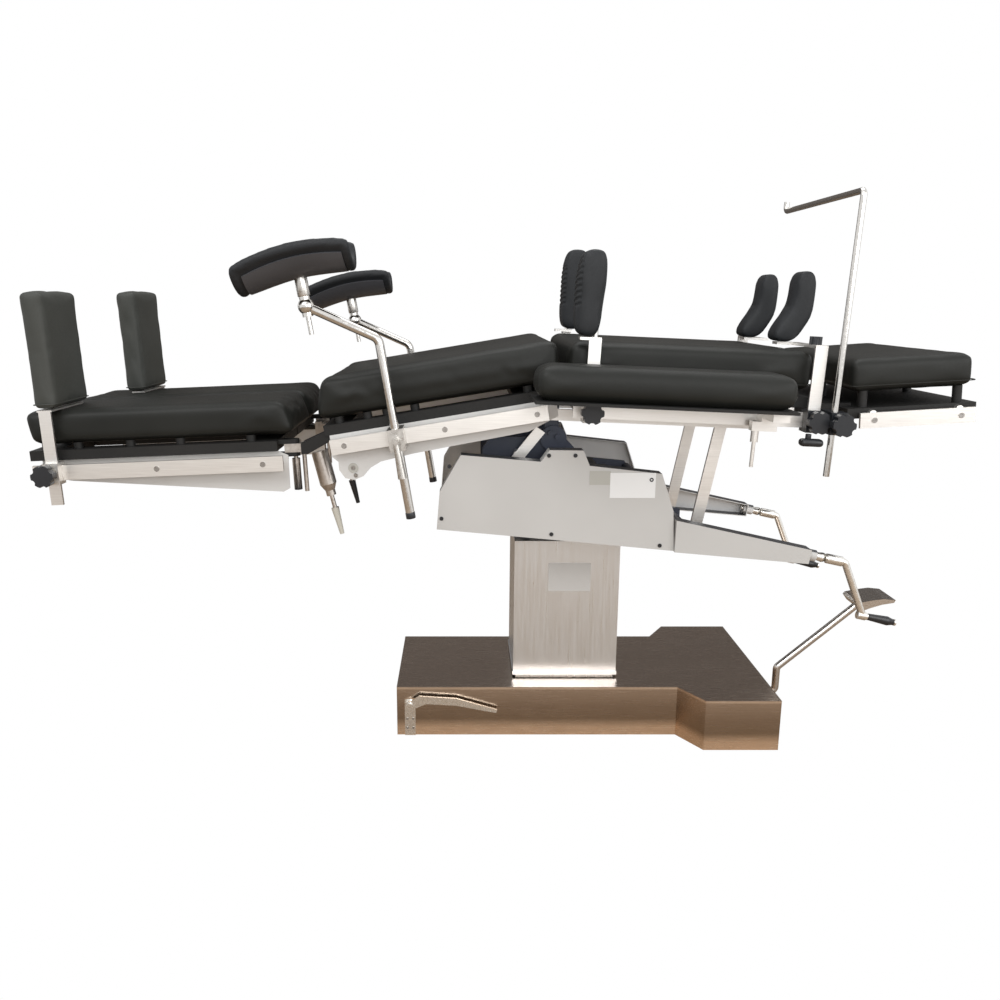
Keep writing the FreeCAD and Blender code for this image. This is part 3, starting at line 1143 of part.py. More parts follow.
def build_lateral(word, side):
    half = strap_wide / 2
    left, right, top = (lateral_x - 46, lateral_x + 12, 316) if side < 0 else (lateral_x - 20, lateral_x + 40, 344)
    across = band(side, strap_inner, strap_inner + strap_thick)
    middle = strap_inner - 5
    strap = box(f"lateral_strap_{word}", (lateral_x - half, lateral_x + half), across, (-rail_tall - 7, 136))
    shelf = box(f"lateral_shelf_{word}", (lateral_x - 32, lateral_x + half), band(side, strap_inner - 21, strap_inner + strap_thick),
                (132, 138))
    pin = rod(f"lateral_pin_{word}", "z", 6, (lateral_x, middle * side, 136), 30)
    on_back(f"lateral_post_{word}", fuse(f"lateral_post_{word}", [strap, shelf, pin]))
    pad = slab(f"lateral_pad_{word}_block", "XY_Plane",
               [(left, (middle - 34) * side), (right, (middle - 34) * side),
                (right, (middle + 34) * side), (left, (middle + 34) * side)], 138 + touch, top)
    rounded(pad, 18, lambda edge: True)
    hole = rod(f"lateral_pad_{word}_hole", "z", 6 + run_fit, (lateral_x, middle * side, 130), 37)
    on_back(f"lateral_pad_{word}", cut(f"lateral_pad_{word}", pad, [hole]))


def build_shoulder(word, side):
    half = strap_wide / 2
    across = band(side, strap_inner, strap_inner + strap_thick)
    strap = box(f"shoulder_strap_{word}", (shoulder_x - half, shoulder_x + half), across, (-rail_tall - 7, 142))
    arm = box(f"shoulder_arm_{word}", (shoulder_x - half, shoulder_x + half), band(side, 104, strap_inner + strap_thick),
              (136, 142))
    reach = box(f"shoulder_reach_{word}", (shoulder_x - 48, shoulder_x), band(side, 104, 136), (136, 142))
    pin = rod(f"shoulder_pin_{word}", "z", 6, (shoulder_x - 34, 120 * side, 140), 26)
    knob = star_knob(f"shoulder_knob_{word}", "z", (shoulder_x - 1, (strap_inner - 31) * side, 141), 13, 18)
    on_back(f"shoulder_post_{word}", fuse(f"shoulder_post_{word}", [strap, arm, reach, pin, knob]))
    shape = [(-58, 142 + touch), (-16, 142 + touch), (20, 212), (22, 284), (12, 296), (-12, 296), (-22, 284),
             (-24, 226), (-62, 160)]
    corners = [(shoulder_x + across_x, up) for across_x, up in shape]
    pad = slab(f"shoulder_pad_{word}_block", "XZ_Plane", corners, *band(side, 88, 152))
    rounded(pad, 9, lambda edge: edge.BoundBox.YLength > 60)
    hole = rod(f"shoulder_pad_{word}_hole", "z", 6 + run_fit, (shoulder_x - 34, 120 * side, 130), 37)
    on_back(f"shoulder_pad_{word}", cut(f"shoulder_pad_{word}", pad, [hole]))


def build_screen():
    low, high = -130, 450
    on_back("screen_frame", bent_rod("screen_frame", screen_radius,
                                     [(screen_x, -post_y, low), (screen_x, -post_y, high),
                                      (screen_x, 142, high), (screen_x, 142, high + 22)], 11))


# Leg supports: bent posts and knee troughs

def build_crutch(word, side):
    x = crutch_near_x if side < 0 else crutch_far_x
    drop = as_size(0) if side < 0 else crutch_far_drop
    y = post_y * side
    bar = bent_rod(f"crutch_bar_{word}", post_radius,
                   [(x, y, -188 - drop), (x, y, 196 - drop), (x - 128, y, 280 - drop)], 22)
    joint = doc.addObject("Part::Sphere", f"crutch_ball_{word}")
    bind(joint, "Radius", 17)
    place(joint, x - 134, y, as_size(284) - drop)
    collar = rod(f"crutch_collar_{word}", "z", 11, (x - 134, y, as_size(263) - drop), 41)
    lever = rod(f"crutch_tee_{word}", "z", 5, (x - 134, y, as_size(226) - drop), 40)
    pin = rod(f"crutch_stem_{word}", "z", 7, (x - 134, y, as_size(290) - drop), 42)
    on_seat(f"crutch_post_{word}", fuse(f"crutch_post_{word}", [bar, joint, collar, lever, pin]))
    base = as_size(304) - drop
    hub = rod(f"trough_hub_{word}", "z", 13, (x - 134, y, base), 46)
    outer = rod(f"trough_outer_{word}", "x", 74, (x - 134 - 132, y, base + 108), 250)
    inner = rod(f"trough_inner_{word}", "x", 56, (x - 134 - 140, y, base + 108), 270)
    lid = box(f"trough_lid_{word}", (x - 134 - 140, x - 134 + 140), (y - 90, y + 90), (base + 92, base + 200))
    shell = cut(f"trough_shell_{word}", outer, [inner, lid])
    bore = rod(f"trough_bore_{word}", "z", 7 + run_fit, (x - 134, y, base - 5), 34)
    on_seat(f"crutch_trough_{word}", cut(f"crutch_trough_{word}", fuse(f"trough_solid_{word}", [hub, shell]), [bore]))


# Foot boards on the leg rails

foot_near_x = size("foot_near_x", -482.0, "near foot board, in the leg section's frame")
foot_far_x = size("foot_far_x", -417.0, "far foot board, in the leg section's frame")


def build_foot(word, side):
    x = foot_near_x if side < 0 else foot_far_x
    half = strap_wide / 2
    clamp = rail_clamp(f"foot_clamp_{word}", side, x, rail_face + 19, touch)
    reach = strap_inner + strap_thick
    strap = box(f"foot_strap_{word}", (x - half, x + half), band(side, strap_inner, reach), (-86, 119))
    shelf = box(f"foot_shelf_{word}", (x - 16, x + 16), band(side, 110, reach), (116.5, 120))
    screw = rod(f"foot_screw_{word}", "y", 6,
                (x, band(side, rail_face + 15, rail_face + 29)[0], -rail_tall / 2), 14)
    knob_y = band(side, rail_face + 25, rail_face + 25 + knob_thick)[0]
    knob = star_knob(f"foot_knob_{word}", "y", (x - 8, knob_y, -rail_tall / 2), knob_radius, knob_thick)
    on_leg(f"foot_post_{word}", fuse(f"foot_post_{word}", clamp + [strap, shelf, screw, knob]))
    body = slab(f"foot_board_{word}", "XY_Plane",
                [(x - 24, 88 * side), (x + 24, 88 * side), (x + 24, reach * side), (x - 24, reach * side)], 120, 370)
    on_leg(f"foot_board_{word}", rounded(body, 7, lambda edge: True))


build_base()
build_mast()
build_hydraulics()
build_brake()
build_pedal()
build_lift()
build_yoke()
build_carriage()
build_covers()
build_arms()
build_struts()
build_support_frame()
build_cranks()
build_seat()
build_back()
build_head()
build_seat_clamps()
build_back_clamps()
build_arm_board()
build_screen()
for side_word, side_sign in SIDES:
    build_leg(side_word, side_sign)
    build_foot(side_word, side_sign)
    build_lateral(side_word, side_sign)
    build_shoulder(side_word, side_sign)
    build_crutch(side_word, side_sign)

doc.recompute()
for thing in doc.Objects:
    if {"Invalid", "Error"} & set(thing.State):
        raise RuntimeError(f"{thing.Name} did not recompute: {thing.State}")
for label, solid in nodes.items():
    if solid.Shape.isNull() or not solid.Shape.isValid():
        raise RuntimeError(f"{label} has no valid shape")
for label, solid in nodes.items():
    solid.Shape.exportStep(f"parts/{label}.step")
    print(f"{label}: {len(solid.Shape.Solids)} solids, {solid.Shape.Volume / 1000:.0f} cm3")
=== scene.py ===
"""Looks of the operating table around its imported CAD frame, in metres. The near side is at negative Y."""
import json
import math

import bpy
from mathutils import Matrix, Vector


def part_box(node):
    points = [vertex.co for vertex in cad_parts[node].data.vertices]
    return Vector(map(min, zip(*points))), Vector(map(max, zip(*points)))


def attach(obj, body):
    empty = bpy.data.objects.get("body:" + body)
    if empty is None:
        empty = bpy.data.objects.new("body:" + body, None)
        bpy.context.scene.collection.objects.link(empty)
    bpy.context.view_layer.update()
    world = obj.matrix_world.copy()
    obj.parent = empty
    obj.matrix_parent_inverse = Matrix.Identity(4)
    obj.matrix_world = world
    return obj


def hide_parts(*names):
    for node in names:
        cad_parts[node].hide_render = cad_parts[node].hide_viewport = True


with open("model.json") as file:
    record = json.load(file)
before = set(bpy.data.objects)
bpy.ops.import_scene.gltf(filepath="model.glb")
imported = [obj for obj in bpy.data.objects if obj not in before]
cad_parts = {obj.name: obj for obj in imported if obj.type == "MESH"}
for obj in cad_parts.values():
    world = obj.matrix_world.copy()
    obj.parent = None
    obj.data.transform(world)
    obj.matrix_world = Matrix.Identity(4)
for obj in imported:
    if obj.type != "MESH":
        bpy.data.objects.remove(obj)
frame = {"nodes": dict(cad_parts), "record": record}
scene = bpy.context.scene
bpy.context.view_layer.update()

# Section frames: a point on the rail's top edge and the rise to the head end
SECTIONS = {
    "world": (0.0, 0.0, 0.0),
    "seat": (-0.045, 0.820, 9.3),
    "back": (-0.045, 0.823, -2.5),
    "head": (0.599, 0.798, 3.3),
    "leg": (-0.654, 0.705, 2.4),
    "crank": (0.552, 0.469, -12.5),
}
SIDES = (("near", -1), ("far", 1))

# Places that several pieces share, in their section's frame
RAIL_FACE, RAIL_MIDDLE = 0.265, -0.0165
COVER_FACE = 0.237
PAD_WIDTH, PAD_FOOT = (-0.25, 0.25), 0.044
CRUTCH_X = {"near": -0.352, "far": -0.331}
CRUTCH_DROP = {"near": 0.0, "far": 0.045}
CRUTCH_Y = 0.3
CRANK_Y = 0.226


def placed(section):
    """The matrix from a section's own frame to the table's."""
    x, z, slope = SECTIONS[section]
    return Matrix.Translation((x, 0, z)) @ Matrix.Rotation(-math.radians(slope), 4, "Y")


# Materials

def shader(name):
    """A new material with its Principled shader."""
    material = bpy.data.materials.new(name)
    material.use_nodes = True
    return material, material.node_tree, material.node_tree.nodes["Principled BSDF"]


def node(tree, kind, **values):
    """A new shader node with its attributes or its sockets' values set."""
    made = tree.nodes.new(kind)
    for key, value in values.items():
        if hasattr(made, key):
            setattr(made, key, value)
        else:
            made.inputs[key.replace("_", " ")].default_value = value
    return made


def object_noise(tree, stretch, scale, detail=4.0):
    """Noise on the piece's own coordinates, stretched along its axes."""
    where = tree.nodes.new("ShaderNodeTexCoord")
    turn = tree.nodes.new("ShaderNodeMapping")
    turn.inputs["Scale"].default_value = stretch
    noise = node(tree, "ShaderNodeTexNoise", Scale=scale, Detail=detail, Roughness=0.55)
    tree.links.new(where.outputs["Object"], turn.inputs["Vector"])
    tree.links.new(turn.outputs["Vector"], noise.inputs["Vector"])
    return noise


def ramp(tree, source, low, high, start=0.3, end=0.7):
    """Two colours spread over a source's range."""
    made = tree.nodes.new("ShaderNodeValToRGB")
    made.color_ramp.elements[0].position, made.color_ramp.elements[1].position = start, end
    made.color_ramp.elements[0].color = (*low, 1)
    made.color_ramp.elements[1].color = (*high, 1)
    tree.links.new(source, made.inputs["Fac"])
    return made


def finish_with(tree, bsdf, colour, roughness, bump, strength, distance):
    """Link a material's colour, roughness and bump to its shader."""
    tree.links.new(colour, bsdf.inputs["Base Color"])
    tree.links.new(roughness, bsdf.inputs["Roughness"])
    made = node(tree, "ShaderNodeBump", Strength=strength, Distance=distance)
    tree.links.new(bump, made.inputs["Height"])
    tree.links.new(made.outputs["Normal"], bsdf.inputs["Normal"])


def metal(name, low, high, roughness, stretch=(2, 60, 60), scale=8.0, strength=0.15, reflection_bands=()):
    """Metal with a brushed grain, and painted reflection in bands of colour at heights above the floor."""
    material, tree, bsdf = shader(name)
    grain = object_noise(tree, stretch, scale)
    shade = ramp(tree, grain.outputs["Fac"], low, high)
    # Painted reflection: colour bands by height multiplied into the grain's colour
    if reflection_bands:
        where, apart = tree.nodes.new("ShaderNodeTexCoord"), tree.nodes.new("ShaderNodeSeparateXYZ")
        tree.links.new(where.outputs["Object"], apart.inputs["Vector"])
        painted_reflection = ramp(tree, apart.outputs["Z"], reflection_bands[0][1], reflection_bands[-1][1], reflection_bands[0][0], reflection_bands[-1][0])
        for height, colour in reflection_bands[1:-1]:
            painted_reflection.color_ramp.elements.new(height).color = (*colour, 1)
        both = tree.nodes.new("ShaderNodeMix")
        both.data_type, both.blend_type = "RGBA", "MULTIPLY"
        both.inputs["Factor"].default_value = 1.0
        tree.links.new(shade.outputs["Color"], both.inputs[6])
        tree.links.new(painted_reflection.outputs["Color"], both.inputs[7])
        shade = both
    rough = ramp(tree, grain.outputs["Fac"], (roughness * 0.8,) * 3, (roughness * 1.2,) * 3)
    bsdf.inputs["Metallic"].default_value = 1.0
    colour = shade.outputs[2] if reflection_bands else shade.outputs["Color"]
    finish_with(tree, bsdf, colour, rough.outputs["Color"], grain.outputs["Fac"], strength, 0.0004)
    return material


def coat(name, low, high, roughness, scale=240.0, strength=0.1, distance=0.0004, shine=0.5):
    """Paint, moulded plastic or vinyl with a fine grain over a faint broad mottle."""
    material, tree, bsdf = shader(name)
    broad = object_noise(tree, (1, 1, 1), 6.0, 2.0)
    fine = object_noise(tree, (1, 1, 1), scale, 6.0)
    shade = ramp(tree, broad.outputs["Fac"], low, high)
    rough = ramp(tree, fine.outputs["Fac"], (roughness * 0.85,) * 3, (roughness * 1.15,) * 3)
    bsdf.inputs["Specular IOR Level"].default_value = shine
    finish_with(tree, bsdf, shade.outputs["Color"], rough.outputs["Color"], fine.outputs["Fac"],
                strength, distance)
    return material


# Painted reflection on the stainless base at heights above the floor: a lighter band low down, a dark band
# above it, a painted highlight along the bright edge of its top, and a darker top
BASE_REFLECTION_BANDS = [
    (0.0, (1.0, 0.94, 0.86)), (0.020, (1.0, 0.92, 0.82)), (0.042, (0.40, 0.36, 0.31)),
    (0.075, (0.44, 0.40, 0.36)), (0.1185, (0.60, 0.57, 0.54)), (0.1192, (1.0, 0.98, 0.95)),
    (0.1247, (1.0, 0.98, 0.95)), (0.1249, (0.68, 0.68, 0.69)),
]
# How fine the grain of each kind of coat is
POWDER, VINYL, MOULDED = 700.0, 420.0, 300.0

MATERIALS = {
    "base_plate_steel": coat("base_plate_steel", (0.02, 0.02, 0.02), (0.03, 0.03, 0.03), 0.6),
    "base_stainless": metal("base_stainless", (0.80, 0.68, 0.57), (0.90, 0.77, 0.66),
                            0.24, (3, 90, 90), 6.0, 0.06, BASE_REFLECTION_BANDS),
    "column_steel": metal("column_steel", (0.45, 0.45, 0.45), (0.55, 0.55, 0.55), 0.3, (60, 60, 2)),
    "hydraulic_steel": coat("hydraulic_steel", (0.03, 0.03, 0.035), (0.05, 0.05, 0.055), 0.5),
    "lever_steel": metal("lever_steel", (0.55, 0.53, 0.50), (0.68, 0.66, 0.63), 0.25),
    "pedal_chrome": metal("pedal_chrome", (0.58, 0.55, 0.52), (0.70, 0.67, 0.64), 0.22, (30, 30, 30)),
    "column_stainless": metal("column_stainless", (0.73, 0.75, 0.77), (0.75, 0.77, 0.79),
                              0.34, (60, 60, 1.5), 6.0, 0.04),
    "cast_steel": coat("cast_steel", (0.05, 0.05, 0.055), (0.08, 0.08, 0.085), 0.55, 90.0, 0.3),
    "carriage_paint": coat("carriage_paint", (0.035, 0.045, 0.075), (0.05, 0.06, 0.09), 0.4),
    "cover_paint": coat("cover_paint", (0.515, 0.505, 0.485), (0.545, 0.535, 0.515),
                        0.42, POWDER, 0.08, 0.0002),
    "plate_paint": coat("plate_paint", (0.60, 0.59, 0.57), (0.65, 0.64, 0.62),
                        0.42, POWDER, 0.08, 0.0002),
    "rail_stainless": metal("rail_stainless", (0.80, 0.78, 0.75), (0.89, 0.87, 0.84),
                            0.38, (2, 90, 90), 7.0, 0.06),
    "rod_stainless": metal("rod_stainless", (0.62, 0.60, 0.57), (0.72, 0.70, 0.67), 0.16, (20, 20, 20)),
    "clamp_cast": metal("clamp_cast", (0.52, 0.50, 0.47), (0.66, 0.64, 0.61),
                        0.30, (12, 12, 12), 12.0, 0.25),
    "clamp_black": coat("clamp_black", (0.012, 0.013, 0.016), (0.02, 0.022, 0.026), 0.34, MOULDED, 0.12),
    "board_laminate": coat("board_laminate", (0.010, 0.010, 0.0095), (0.017, 0.016, 0.015),
                           0.55, 160.0, 0.12, shine=0.3),
    "pad_vinyl": coat("pad_vinyl", (0.0085, 0.009, 0.0073), (0.0145, 0.015, 0.0128),
                      0.5, VINYL, 0.18, 0.0006, shine=0.27),
    "pad_slate": coat("pad_slate", (0.011, 0.0122, 0.0138), (0.0175, 0.019, 0.021),
                      0.55, VINYL, 0.18, 0.0006, shine=0.3),
    "grip_black": coat("grip_black", (0.01, 0.01, 0.012), (0.018, 0.018, 0.02), 0.3),
    "label_place": coat("label_place", (0.78, 0.78, 0.77), (0.81, 0.81, 0.80), 0.5, POWDER, 0.03),
    "label_grey": coat("label_grey", (0.42, 0.41, 0.37), (0.46, 0.45, 0.41), 0.5, POWDER, 0.03),
    "column_label": coat("column_label", (0.56, 0.55, 0.53), (0.59, 0.58, 0.56), 0.5, POWDER, 0.03),
    "pad_foot": coat("pad_foot", (0.042, 0.044, 0.038), (0.056, 0.058, 0.052),
                     0.55, VINYL, 0.18, 0.0006, shine=0.35),
    "ivory": coat("ivory", (0.55, 0.53, 0.46), (0.60, 0.58, 0.51), 0.4),
    "nickel": metal("nickel", (0.80, 0.78, 0.74), (0.90, 0.88, 0.84), 0.26, (20, 20, 20), 8.0, 0.06),
    "screw_steel": metal("screw_steel", (0.34, 0.32, 0.30), (0.46, 0.44, 0.42),
                         0.3, (20, 20, 20), 8.0, 0.06),
    "hinge_steel": metal("hinge_steel", (0.50, 0.46, 0.42), (0.62, 0.58, 0.54),
                         0.34, (12, 12, 12), 12.0, 0.2),
    # Painted light: a lighter grey for inner faces that lie in shade
    "painted_light_inner": coat("painted_light_inner", (0.84, 0.84, 0.83), (0.88, 0.88, 0.87), 0.45, POWDER, 0.05),
    "trough_shell": coat("trough_shell", (0.052, 0.052, 0.057), (0.070, 0.070, 0.076),
                         0.45, MOULDED, 0.1),
    # Painted shade: a dark grey for the tops of the side covers and crank arms
    "painted_shade_grey": coat("painted_shade_grey", (0.06, 0.06, 0.065), (0.085, 0.085, 0.09), 0.45),
}
for item in frame["record"]["subparts"]:
    shown = frame["nodes"][item["node"]]
    shown.data.materials.clear()
    shown.data.materials.append(MATERIALS[item["material_slot"]])


def paint(name, look, section, test):
    """Give the faces of a CAD node whose middle and direction pass a test another material."""
    mesh = frame["nodes"][name].data
    back_to = placed(section).inverted()
    if MATERIALS[look].name not in mesh.materials:
        mesh.materials.append(MATERIALS[look])
    index = mesh.materials.find(MATERIALS[look].name)
    for face in mesh.polygons:
        if test(back_to @ face.center, face.normal):
            face.material_index = index


paint("back_clamps", "clamp_cast", "back", lambda p, n: abs(p.y) < 0.2955 and p.x < 0.5)
# Painted shade: the tops of the side covers and crank arms get a dark grey.
for cover in ("side_covers", "crank_arms"):
    paint(cover, "painted_shade_grey", "world", lambda p, n: n.z > 0.7)
    paint(cover, "painted_light_inner", "world", lambda p, n: p.y > 0.2 and n.y < -0.9)
# Painted light: inner faces of the far pieces, which lie in shade, get a lighter grey paint, here and on
# the covers and crank arms above.
for far in ("seat_side_plates", "leg_side_plate_far", "seat_rails", "leg_rail_far"):
    paint(far, "painted_light_inner", "world", lambda p, n: p.y > 0.2 and n.y < -0.9)
paint("brake_lever", "nickel", "world", lambda p, n: True)
for word, side in SIDES:
    paint(f"leg_hinge_{word}", "hinge_steel", "leg", lambda p, n: True)
    paint(f"leg_hinge_{word}", "clamp_black", "leg", lambda p, n: p.x < 0.037 and p.z < -0.055)
    paint(f"leg_hinge_{word}", "ivory" if side < 0 else "clamp_black", "leg",
          lambda p, n: p.z < -0.142 and p.x > 0.06)
    paint(f"foot_post_{word}", "clamp_black", "leg",
          lambda p, n, s=side: p.y * s > 0.2935 and -0.045 < p.z < 0.010)
    paint(f"shoulder_post_{word}", "clamp_black", "back",
          lambda p, n, s=side: p.z > 0.1425 and p.y * s > 0.21)
    paint(f"crutch_post_{word}", "clamp_black", "seat",
          lambda p, n, drop=CRUTCH_DROP[word]: p.z + drop < -0.187)
    paint(f"crank_{word}", "nickel", "crank", lambda p, n: True)


# Modelling helpers

def clear():
    """Deselect everything."""
    bpy.ops.object.select_all(action="DESELECT")


def pick(*objects):
    """Select these objects alone, the first one active."""
    clear()
    for obj in objects:
        obj.select_set(True)
    bpy.context.view_layer.objects.active = objects[0]


def settle(obj, section, body, slot, look=None):
    """Put a piece that was built in a section's frame in its place, on its body, in its material."""
    obj.data.transform(placed(section))
    obj.data.materials.clear()
    obj.data.materials.append(MATERIALS[look or slot])
    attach(obj, body)
    return obj


def apply_all(obj):
    """Apply all of an object's modifiers."""
    pick(obj)
    for modifier in list(obj.modifiers):
        bpy.ops.object.modifier_apply(modifier=modifier.name)


def round_edges(obj, width, segments, method="ANGLE"):
    """Bevel an object's sharp edges, or with method NONE all of them."""
    made = obj.modifiers.new("Bevel", "BEVEL")
    made.width, made.segments, made.limit_method = width, segments, method
    apply_all(obj)


def block(name, low, high, bevel=0.0, segments=3):
    """A box between two corners, its edges rounded where a bevel is given."""
    clear()
    bpy.ops.mesh.primitive_cube_add(size=1)
    obj = bpy.context.object
    obj.name = name
    size = Vector(high) - Vector(low)
    middle = (Vector(high) + Vector(low)) / 2
    obj.data.transform(Matrix.Translation(middle) @ Matrix.Diagonal((*size, 1)))
    if bevel:
        round_edges(obj, bevel, segments, "NONE")
    return obj


def prism(name, outline, low, high):
    """An outline seen from the side, drawn out between two places across the table."""
    mesh = bpy.data.meshes.new(name)
    points = [(x, y, z) for y in (low, high) for x, z in outline]
    count = len(outline)
    faces = [tuple(range(count)), tuple(range(2 * count - 1, count - 1, -1))]
    faces += [(i, count + i, count + (i + 1) % count, (i + 1) % count) for i in range(count)]
    mesh.from_pydata(points, [], faces)
    obj = bpy.data.objects.new(name, mesh)
    scene.collection.objects.link(obj)
    outward(obj)
    return obj


def outward(obj):
    """Turn an object's faces outwards."""
    pick(obj)
    bpy.ops.object.mode_set(mode="EDIT")
    bpy.ops.mesh.select_all(action="SELECT")
    bpy.ops.mesh.normals_make_consistent(inside=False)
    bpy.ops.object.mode_set(mode="OBJECT")


def smooth(obj, angle=40):
    """Shade an object smooth, apart from edges sharper than an angle in degrees."""
    pick(obj)
    bpy.ops.object.shade_smooth_by_angle(angle=math.radians(angle))


def join(name, objects):
    """Make one object of several, under a name."""
    pick(*objects)
    if len(objects) > 1:
        bpy.ops.object.join()
    objects[0].name = name
    return objects[0]


def inflate(obj, voxel, pressure, cap, frames=20):
    """Remesh a pad and blow it up a little as cloth, no point moving past a cap."""
    made = obj.modifiers.new("Remesh", "REMESH")
    made.mode, made.voxel_size = "VOXEL", voxel
    apply_all(obj)
    start = [v.co.copy() for v in obj.data.vertices]
    cloth = obj.modifiers.new("Cloth", "CLOTH")
    cloth.settings.use_pressure = True
    cloth.settings.uniform_pressure_force = pressure
    cloth.settings.effector_weights.gravity = 0
    cloth.settings.quality = 4
    cloth.collision_settings.use_collision = False
    cloth.point_cache.frame_start, cloth.point_cache.frame_end = 1, frames
    for number in range(1, frames + 1):
        scene.frame_set(number)
    apply_all(obj)
    scene.frame_set(1)
    for vertex, old in zip(obj.data.vertices, start):
        move = vertex.co - old
        if move.length > cap:
            vertex.co = old + move.normalized() * cap
    made = obj.modifiers.new("Smooth", "CORRECTIVE_SMOOTH")
    made.iterations, made.use_only_smooth = 6, True
    made = obj.modifiers.new("Soft", "SUBSURF")
    made.levels = made.render_levels = 1
    apply_all(obj)
    smooth(obj, 60)


def seam(name, points, radius):
    """A welded seam: a thin closed tube through points."""
    curve = bpy.data.curves.new(name, "CURVE")
    curve.dimensions = "3D"
    curve.bevel_depth, curve.bevel_resolution = radius, 2
    spline = curve.splines.new("POLY")
    spline.points.add(len(points) - 1)
    for point, place in zip(spline.points, points):
        point.co = (*place, 1)
    spline.use_cyclic_u = True
    obj = bpy.data.objects.new(name, curve)
    scene.collection.objects.link(obj)
    pick(obj)
    bpy.ops.object.convert(target="MESH")
    return bpy.context.object


def ring(x, y, z, corner, steps=6):
    """A rectangle with round corners at one height."""
    points = []
    for cx, cy, start in ((x[1] - corner, y[1] - corner, 0), (x[0] + corner, y[1] - corner, 90),
                          (x[0] + corner, y[0] + corner, 180), (x[1] - corner, y[0] + corner, 270)):
        for step in range(steps + 1):
            angle = math.radians(start + 90 * step / steps)
            points.append((cx + corner * math.cos(angle), cy + corner * math.sin(angle), z))
    return points


def eased(points, times=2):
    """An outline with its corners cut, so that it runs as a curve."""
    for _ in range(times):
        points = [(a[0] * (1 - t) + b[0] * t, a[1] * (1 - t) + b[1] * t)
                  for a, b in zip(points, points[1:] + points[:1]) for t in (0.25, 0.75)]
    return points


def cushion(name, section, body, node_name, x, y, z, bevel, voxel=0.005, shrink=0.003,
            lean=(0, 0), tuck=(0, 0), seams=True, look=None):
    """A stuffed pad in place of its CAD solid. Lean and tuck move the ends of its top and foot."""
    low = (x[0] + shrink, y[0] + shrink, z[0] + 0.001)
    high = (x[1] - shrink, y[1] - shrink, z[1] - shrink)
    pad = block(name, low, high)
    for vertex in pad.data.vertices:
        if vertex.co.z > (z[0] + z[1]) / 2:
            vertex.co.x += lean[0] if vertex.co.x < (x[0] + x[1]) / 2 else lean[1]
        else:
            vertex.co.x += tuck[0] if vertex.co.x < (x[0] + x[1]) / 2 else tuck[1]
    round_edges(pad, bevel, 4, "NONE")
    inflate(pad, voxel, 3.5, shrink + 0.001)
    if seams:
        thick = 0.0012
        run = ring((x[0] + thick, x[1] - thick), (y[0] + thick, y[1] - thick), z[0] + 0.012, bevel)
        line = seam(name + "_seam", run, thick)
        smooth(line)
        pad = join(name, [pad, line])
    settle(pad, section, body, "pad_vinyl", look)
    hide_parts(node_name)
    return pad


cushion("seat_cushion", "seat", "seat", "seat_pad", (-0.527, 0.013), PAD_WIDTH, (PAD_FOOT, 0.132),
        bevel=0.014, lean=(0.023, 0.010), seams=False)
cushion("back_cushion", "back", "back", "back_pad", (0.014, 0.546), PAD_WIDTH, (PAD_FOOT, 0.128),
        bevel=0.016)
cushion("head_cushion", "head", "head", "head_pad", (-0.015, 0.254), PAD_WIDTH, (PAD_FOOT, 0.113),
        bevel=0.012, voxel=0.0055)
cushion("arm_cushion", "back", "arm_board", "arm_board_pad", (-0.067, 0.460), (-0.42, -0.286),
        (0.015, 0.085), bevel=0.022, voxel=0.0055, seams=False)
for word, side in SIDES:
    span = sorted((0.003 * side, 0.25 * side))
    cushion(f"leg_cushion_{word}", "leg", f"leg_{word}", f"leg_pad_{word}", (-0.553, 0.050), span,
            (PAD_FOOT, 0.116), bevel=0.014, lean=(0.002, -0.024), tuck=(0.013, -0.003), seams=False)
    foot_x = -0.482 if side < 0 else -0.417
    span = sorted((0.088 * side, 0.273 * side))
    cushion(f"foot_cushion_{word}", "leg", f"foot_{word}", f"foot_board_{word}",
            (foot_x - 0.024, foot_x + 0.024), span, (0.120, 0.370), bevel=0.006, voxel=0.004, shrink=0.002,
            look="pad_foot")


# Lateral and shoulder supports

def lateral(word, side):
    """An upright pad, narrower at its foot and gathered on the face that looks to the legs."""
    if side < 0:
        shape = [(29, 139), (70, 139), (73, 200), (79, 262), (77, 302), (66, 317), (19, 313), (19, 165)]
    else:
        shape = [(54, 139), (100, 139), (106, 200), (107, 290), (104, 338), (90, 345), (45, 341),
                 (45, 165)]
    low, high = sorted((0.229 * side, 0.295 * side))
    pad = prism(f"lateral_cushion_{word}", eased([(x / 1000, z / 1000) for x, z in shape]), low, high)
    round_edges(pad, 0.009, 3)
    inflate(pad, 0.004, 3.5, 0.002)
    left = min(v.co.x for v in pad.data.vertices)
    depth, pitch = 0.0011, 0.012
    for vertex in pad.data.vertices:
        if vertex.co.x < left + 0.010 and 0.20 < vertex.co.z < 0.30:
            turns = (vertex.co.z + 0.25 * vertex.co.y) / pitch
            vertex.co.x += depth * math.cos(2 * math.pi * turns) + depth
    settle(pad, "back", f"lateral_pad_{word}", "pad_slate")
    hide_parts(f"lateral_pad_{word}")


def shoulder(word, side):
    """A bent upright pad with soft edges."""
    shape = [(-57, 142), (-14, 142), (14, 190), (21, 214), (21, 298), (-21, 298), (-24, 232), (-36, 204),
             (-62, 160)]
    points = eased([(0.541 + x / 1000, z / 1000) for x, z in shape])
    low, high = sorted((0.089 * side, 0.151 * side))
    pad = prism(f"shoulder_cushion_{word}", points, low, high)
    round_edges(pad, 0.008, 3)
    inflate(pad, 0.004, 3.5, 0.0025)
    settle(pad, "back", f"shoulder_pad_{word}", "pad_slate")
    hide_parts(f"shoulder_pad_{word}")


# Leg troughs

